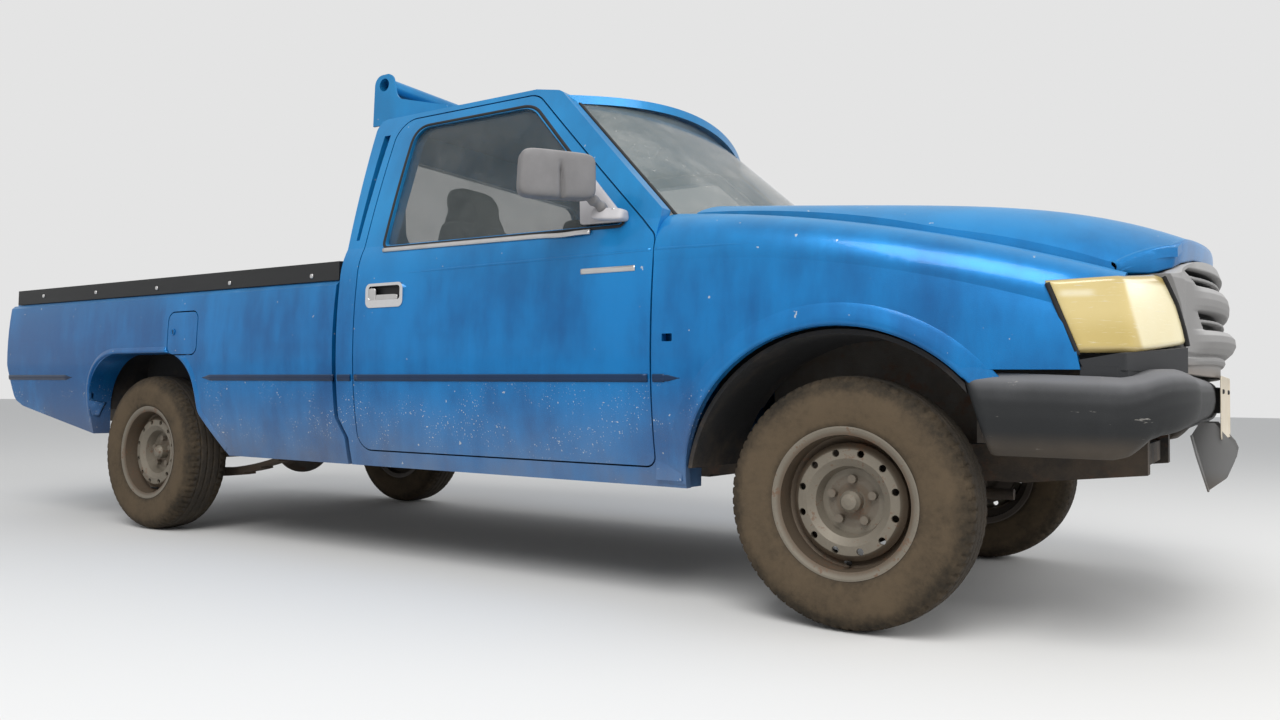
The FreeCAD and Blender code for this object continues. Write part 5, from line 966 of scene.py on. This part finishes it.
# Seats: moulded foam pads in dark grey woven cloth with stitched channels, on a steel base. Each back stands in one
# piece up to its headrest.
seat_cloth, shader, place = start("seat_fabric")
weave, weft = place.waves("Y", 260.0), place.waves("DIAGONAL", 200.0)
wear = place.noise(6, 5, 0.6)
feed(shader, base_color=(wear * 0.6 + weave * 0.2 + weft * 0.15).tint((0.022, 0.022, 0.026), (0.085, 0.083, 0.088)),
     roughness=0.85 + wear * 0.1, sheen_weight=0.25, bump=weave + weft + place.noise(30, 3), depth=0.0005)


seat_y = -0.365
panel_half = 0.150  # from the seat's middle to the sewn channel along each bolster


def cushion_form(deep, wide, high):
    """Seat cushion: bolsters rise along both sides, the front rolls down and the sides pull in between corners."""
    x = 0.375 + 0.200 * deep * (1 - 0.03 * wide ** 2)
    y = seat_y + 0.225 * wide * (1 - 0.035 * (1 - deep ** 2))
    top = 0.768 + 0.035 * deep + 0.022 * np.abs(wide) ** 3 - 0.030 * np.clip(deep - 0.6, 0, 1) ** 1.5
    return np.stack([x, y, np.where(high > 0, top * high + (1 - high) * 0.715, 0.715 + high * 0.045)], -1)


def back_form(high, wide, deep):
    """Seat back: leans with height, narrows to the headrest and has bolsters that fade out under it."""
    z = 1.078 + 0.320 * high
    share = (z - 0.758) / 0.64
    half = np.interp(z, [0.758, 1.10, 1.22, 1.29, 1.398], [0.225, 0.225, 0.185, 0.135, 0.118])
    middle = 0.118 - 0.112 * share
    thick = np.interp(z, [0.758, 1.18, 1.25, 1.34, 1.398], [0.074, 0.058, 0.046, 0.052, 0.046])
    bolster = 0.020 * np.abs(wide) ** 3 * np.clip(1 - share * 1.3, 0, 1) * (deep > 0)
    return np.stack([middle + thick * deep * (1 - 0.10 * wide ** 2) + bolster, seat_y + half * wide, z], -1)


def coordinates(mesh, kind="co"):
    """Places or normals of a mesh's vertices."""
    found = np.empty(len(mesh.vertices) * 3)
    mesh.vertices.foreach_get(kind, found)
    return found.reshape(-1, 3)


def result(piece):
    """Mesh of a piece with its modifiers applied."""
    return bpy.data.meshes.new_from_object(piece.evaluated_get(bpy.context.evaluated_depsgraph_get()))


def swell(pad, voxel=0.011, pressure=4.0, last_frame=20, limit=0.024):
    """Blows a pad up like foam in a tight cover: voxel remesh, cloth under pressure, no point moving over limit."""
    mesher = pad.modifiers.new("even", "REMESH")
    mesher.mode, mesher.voxel_size = "VOXEL", voxel
    bpy.context.view_layer.update()
    even = result(pad)
    pad.modifiers.clear()
    pad.data = even
    before = coordinates(even)
    cloth = pad.modifiers.new("cover", "CLOTH")
    cloth.settings.use_pressure = True
    cloth.settings.uniform_pressure_force = pressure
    cloth.settings.effector_weights.gravity = 0.0
    for step in range(1, last_frame + 1):
        scene.frame_set(step)
    blown = result(pad)
    moved = coordinates(blown) - before
    length = np.linalg.norm(moved, axis=1)[:, None]
    moved *= np.minimum(1.0, limit / np.maximum(length, 1e-9))
    blown.vertices.foreach_set("co", (before + moved).ravel())
    blown.materials.clear()
    blown.materials.append(seat_cloth)
    blown.shade_smooth()
    pad.modifiers.clear()
    pad.data = blown
    scene.frame_set(1)


def stitch(pad, seams, depth=0.007, width=0.006):
    """Presses sewn channels into a pad. Each seam is a function from x, y and z to their distance from it."""
    spot = coordinates(pad.data)
    dent = sum(np.exp(-(seam(*spot.T) / width) ** 2) for seam in seams)
    spot = spot - coordinates(pad.data, "normal") * (np.clip(dent, 0, 1) * depth)[:, None]
    pad.data.vertices.foreach_set("co", spot.ravel())
    pad.data.update()


def from_bolster(y):
    """Distance outward from the channel along the nearer bolster."""
    return np.abs(y - seat_y) - panel_half


cushion_seams = [lambda x, y, z: from_bolster(y),
                 lambda x, y, z: np.where(from_bolster(y) < 0, x - 0.470, 1.0),
                 lambda x, y, z: np.where(from_bolster(y) < 0, x - 0.330, 1.0)]
back_seams = [lambda x, y, z: np.where(z < 1.20, from_bolster(y), 1.0),
              lambda x, y, z: np.where(from_bolster(y) < 0, z - 0.96, 1.0),
              lambda x, y, z: z - 1.235]
for name, form, seams in (("seat_cushion", cushion_form, cushion_seams), ("seat_back", back_form, back_seams)):
    pad = add(name + "_right", form(*unit_block(0.30, 60, 84)), seat_cloth, "truck", "seat_fabric", ends=False)
    swell(pad)
    stitch(pad, seams)
    other = pad.data.copy()
    other.transform(Matrix.Diagonal((1, -1, 1, 1)))
    other.flip_normals()
    twin = bpy.data.objects.new(name + "_left", other)
    scene.collection.objects.link(twin)
    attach(twin, "truck")
    for piece in (pad, twin):
        soft = piece.modifiers.new("soft", "SUBSURF")
        soft.levels = soft.render_levels = 1
x, z, across = ringed(rounded([(0.075, 0.502), (0.545, 0.502), (0.575, 0.640, 0.03), (0.500, 0.672, 0.02),
                               (0.100, 0.672, 0.02)], 0.02, True),
                      [(0.2, 0.0), (0.98, 0.0), (1.0, 0.02), (1.0, 0.38), (0.98, 0.40), (0.2, 0.40)])
seat_base = add_both("seat_base", np.stack([x, -0.565 + across, z], -1), cabin, "truck", "cabin_plastic")
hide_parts("seats")


# Wheels: pressed steel, once silver. Brown brake and road dust has settled in the dish, rust shows in a ring where the
# disc is welded to the rim, and the raised middle is rubbed pale. All its tones are darker than the dust alone, as
# painted shade. Each rim has a rubber valve.
front_axle_x, rear_axle_x, hub_z, wheel_y = 1.685, -1.400, 0.325, 0.715


def from_axle(place):
    """Distance from the nearer axle's middle, seen from the side."""
    x, rise = place.axis(0), place.axis(2) - hub_z
    ahead = x - rear_axle_x - x.math("GREATER_THAN", x, 0.14) * (front_axle_x - rear_axle_x)
    return place.math("SQRT", ahead * ahead + rise * rise)


silver, shader, place = start("wheel_silver")
radius = from_axle(place)
cloud = place.noise(16, 5, 0.65)
fine = place.noise(120, 4, 0.65)
# Painted shade: all the tones are kept darker than the dust alone.
tone = (cloud * 0.7 + fine * 0.3).tint((0.115, 0.096, 0.072), (0.25, 0.222, 0.175))
brown = radius.band(0.138, 0.181, 0.006) * (0.45 + 0.55 * cloud) + radius.band(0.030, 0.048, 0.004) * 0.6
tone = brown.math("MINIMUM", brown, 1.0).tint(tone, (0.092, 0.060, 0.036))
bloom = (fine * 0.5 + cloud * 0.6).ramp(0.60, 0.68)
tone = (bloom * 0.8).tint(tone, (0.12, 0.06, 0.03))
nut = radius.band(0.046, 0.068, 0.003)
tone = (nut * fine * 0.8).tint(tone, (0.10, 0.075, 0.055))
back_dark = 1 - place.axis(1).size().ramp(0.690, 0.712)
tone = back_dark.tint(tone, (0.075, 0.060, 0.048))
feed(shader, base_color=tone, roughness=0.42 + cloud * 0.3, metallic=0.35 * (1 - bloom) * (1 - back_dark),
     bump=fine + cloud * 0.6, depth=0.0005)
wheels = (("front_right", front_axle_x, -1), ("front_left", front_axle_x, 1), ("rear_right", rear_axle_x, -1),
          ("rear_left", rear_axle_x, 1))  # name, place along the truck, side
dress(silver, *["wheel_" + wheel for wheel, *_ in wheels])


# Tyres: worn road tyres. The profile is turned about the axle, with zigzag grooves round the tread, slots across its
# shoulders and thin moulded rings on the walls. Everything is brown with dried earth, and all its tones are darkened
# as painted shade.
dusty, shader, place = start("tyre_rubber")
radius = from_axle(place)
cloud = place.noise(9, 5, 0.65)
fine = place.noise(70, 4, 0.65)
earth = (cloud * 0.8 + fine * 0.35 + radius.band(0.20, 0.285, 0.02) * 0.25).ramp(0.30, 0.95)
worn = radius.ramp(0.3195, 0.3225)
# Painted shade: the rubber and earth tones are darkened.
tone = earth.tint((0.018, 0.016, 0.013), (0.100, 0.073, 0.046))
tone = (worn * 0.55).tint(tone, (0.050, 0.044, 0.038))
tone = (radius.band(0.180, 0.196, 0.004) * 0.5).tint(tone, (0.055, 0.043, 0.034))
feed(shader, base_color=tone, roughness=0.80 + cloud * 0.15, specular_ior_level=0.15,
     bump=fine + place.noise(400, 2) * 0.4, depth=0.0007)

wall = np.array([  # across from the middle, from the axle
    (0.0720, 0.1786), (0.0800, 0.1880), (0.0868, 0.2060), (0.0915, 0.2280), (0.0936, 0.2500), (0.0938, 0.2680),
    (0.0915, 0.2850), (0.0862, 0.3000), (0.0785, 0.3110), (0.0690, 0.3178), (0.0560, 0.3218), (0.0400, 0.3238),
    (0.0200, 0.3248), (0.0, 0.3250)])
inside_wall = np.array([(0.0600, 0.1860), (0.0780, 0.2300), (0.0820, 0.2680), (0.0700, 0.2960), (0.0, 0.3010)])
length = travel(wall)
shoulder = length[8]  # the tread, from there on, has closer points than the side wall
spots = np.concatenate([np.linspace(0, shoulder, 26, False), np.linspace(shoulder, length[-1], 32)])
smooth = np.stack([smoothed(np.interp(spots, length, column), [0.08, 0.24, 0.36, 0.24, 0.08], mode="reflect",
                            reflect_type="odd") for column in wall.T], 1)
outer = np.concatenate([smooth, smooth[-2::-1] * (-1, 1)])
profile = np.concatenate([outer, inside_wall * (-1, 1), inside_wall[-2::-1]])
turn = np.linspace(0, 2 * math.pi, 420, False)[:, None]
around = turn / (2 * math.pi)
across, out = profile.T[:, None]
outside = np.arange(len(profile)) < len(outer)
tread = np.clip((out - 0.3075) / 0.006, 0, 1) * outside
zigzags, blocks, lug_count, groove_depth = 70, 74, 60, 0.0050
zigzag = 0.0028 * np.abs((around * zigzags) % 2 - 1) - 0.0014
grooves = sum(np.exp(-((np.abs(across - offset) + zigzag * np.sign(offset + 1e-3)) / 0.0028) ** 4)
              for offset in (-0.042, -0.014, 0.014, 0.042))
phase = (around * blocks + np.abs(across) * 6.0) % 1
slots = (np.abs(phase - 0.5) < 0.14) * np.clip((np.abs(across) - 0.046) / 0.004, 0, 1)
sipes = (np.abs((phase * 2) % 1 - 0.5) < 0.12) * (np.abs(across) < 0.038) * 0.25
depth = groove_depth * np.clip(grooves + slots + sipes, 0, 1) * tread
rings = sum(0.0011 * np.exp(-((out - r) / 0.0016) ** 2) for r in (0.2010, 0.2060, 0.2880, 0.2935)) * outside
lugs = 0.0014 * (np.abs((around * lug_count) % 1 - 0.5) < 0.22) * np.exp(-((out - 0.303) / 0.006) ** 2) * outside
reach = out - depth
wide = across + np.sign(across) * (rings + lugs)
valve_size = np.interp(np.arange(12), [0, 5, 6, 11], [0.0062, 0.0052, 0.0040, 0.0036])
for wheel, hub_x, side in wheels:
    tyre = np.stack([hub_x + reach * np.cos(turn), side * wheel_y + wide + 0 * turn, hub_z + reach * np.sin(turn)], -1)
    made = add("tread_" + wheel, tyre, dusty, "wheel_" + wheel, "tyre_rubber", closed_rows=True)
    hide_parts("tyre_" + wheel)
    valve_line = np.linspace((hub_x, side * 0.742, hub_z - 0.158), (hub_x, side * 0.776, hub_z - 0.150), 12)
    add("valve_" + wheel, sweep(valve_line, circle(16), (1, 0, 0), size=valve_size), rubber, "wheel_" + wheel,
        "tyre_rubber")


# Glass: clear with a faint green tint, held in its rubbers, and filmed with dust in clouds and dried drops. The
# windscreen is the dustiest, and the side and rear glass is tinted darker.
def glass(name, tint, clear, film, *nodes):
    """Thin glass: mostly see-through, with a film of dust that is less so."""
    material, shader, place = start(name)
    cloud = place.noise(4, 5, 0.65)
    drops = place.noise(85, 2, 0.5).ramp(0.66, 0.72)
    dust = (cloud.ramp(0.35, 0.8) * 0.6 + drops * 0.5) * film
    feed(shader, base_color=dust.math("MINIMUM", dust, 1.0).tint(tint, (0.50, 0.49, 0.46)),
         roughness=0.04 + 0.3 * dust, alpha=clear + 0.45 * dust, coat_weight=0.3)
    dress(material, *nodes)


glass("screen_glass", (0.16, 0.20, 0.20), 0.40, 0.75, "windscreen")
glass("window_glass", (0.045, 0.060, 0.060), 0.30, 0.30, "back_glass", "door_glass_right", "door_glass_left")

scene.view_settings.view_transform = "Standard"
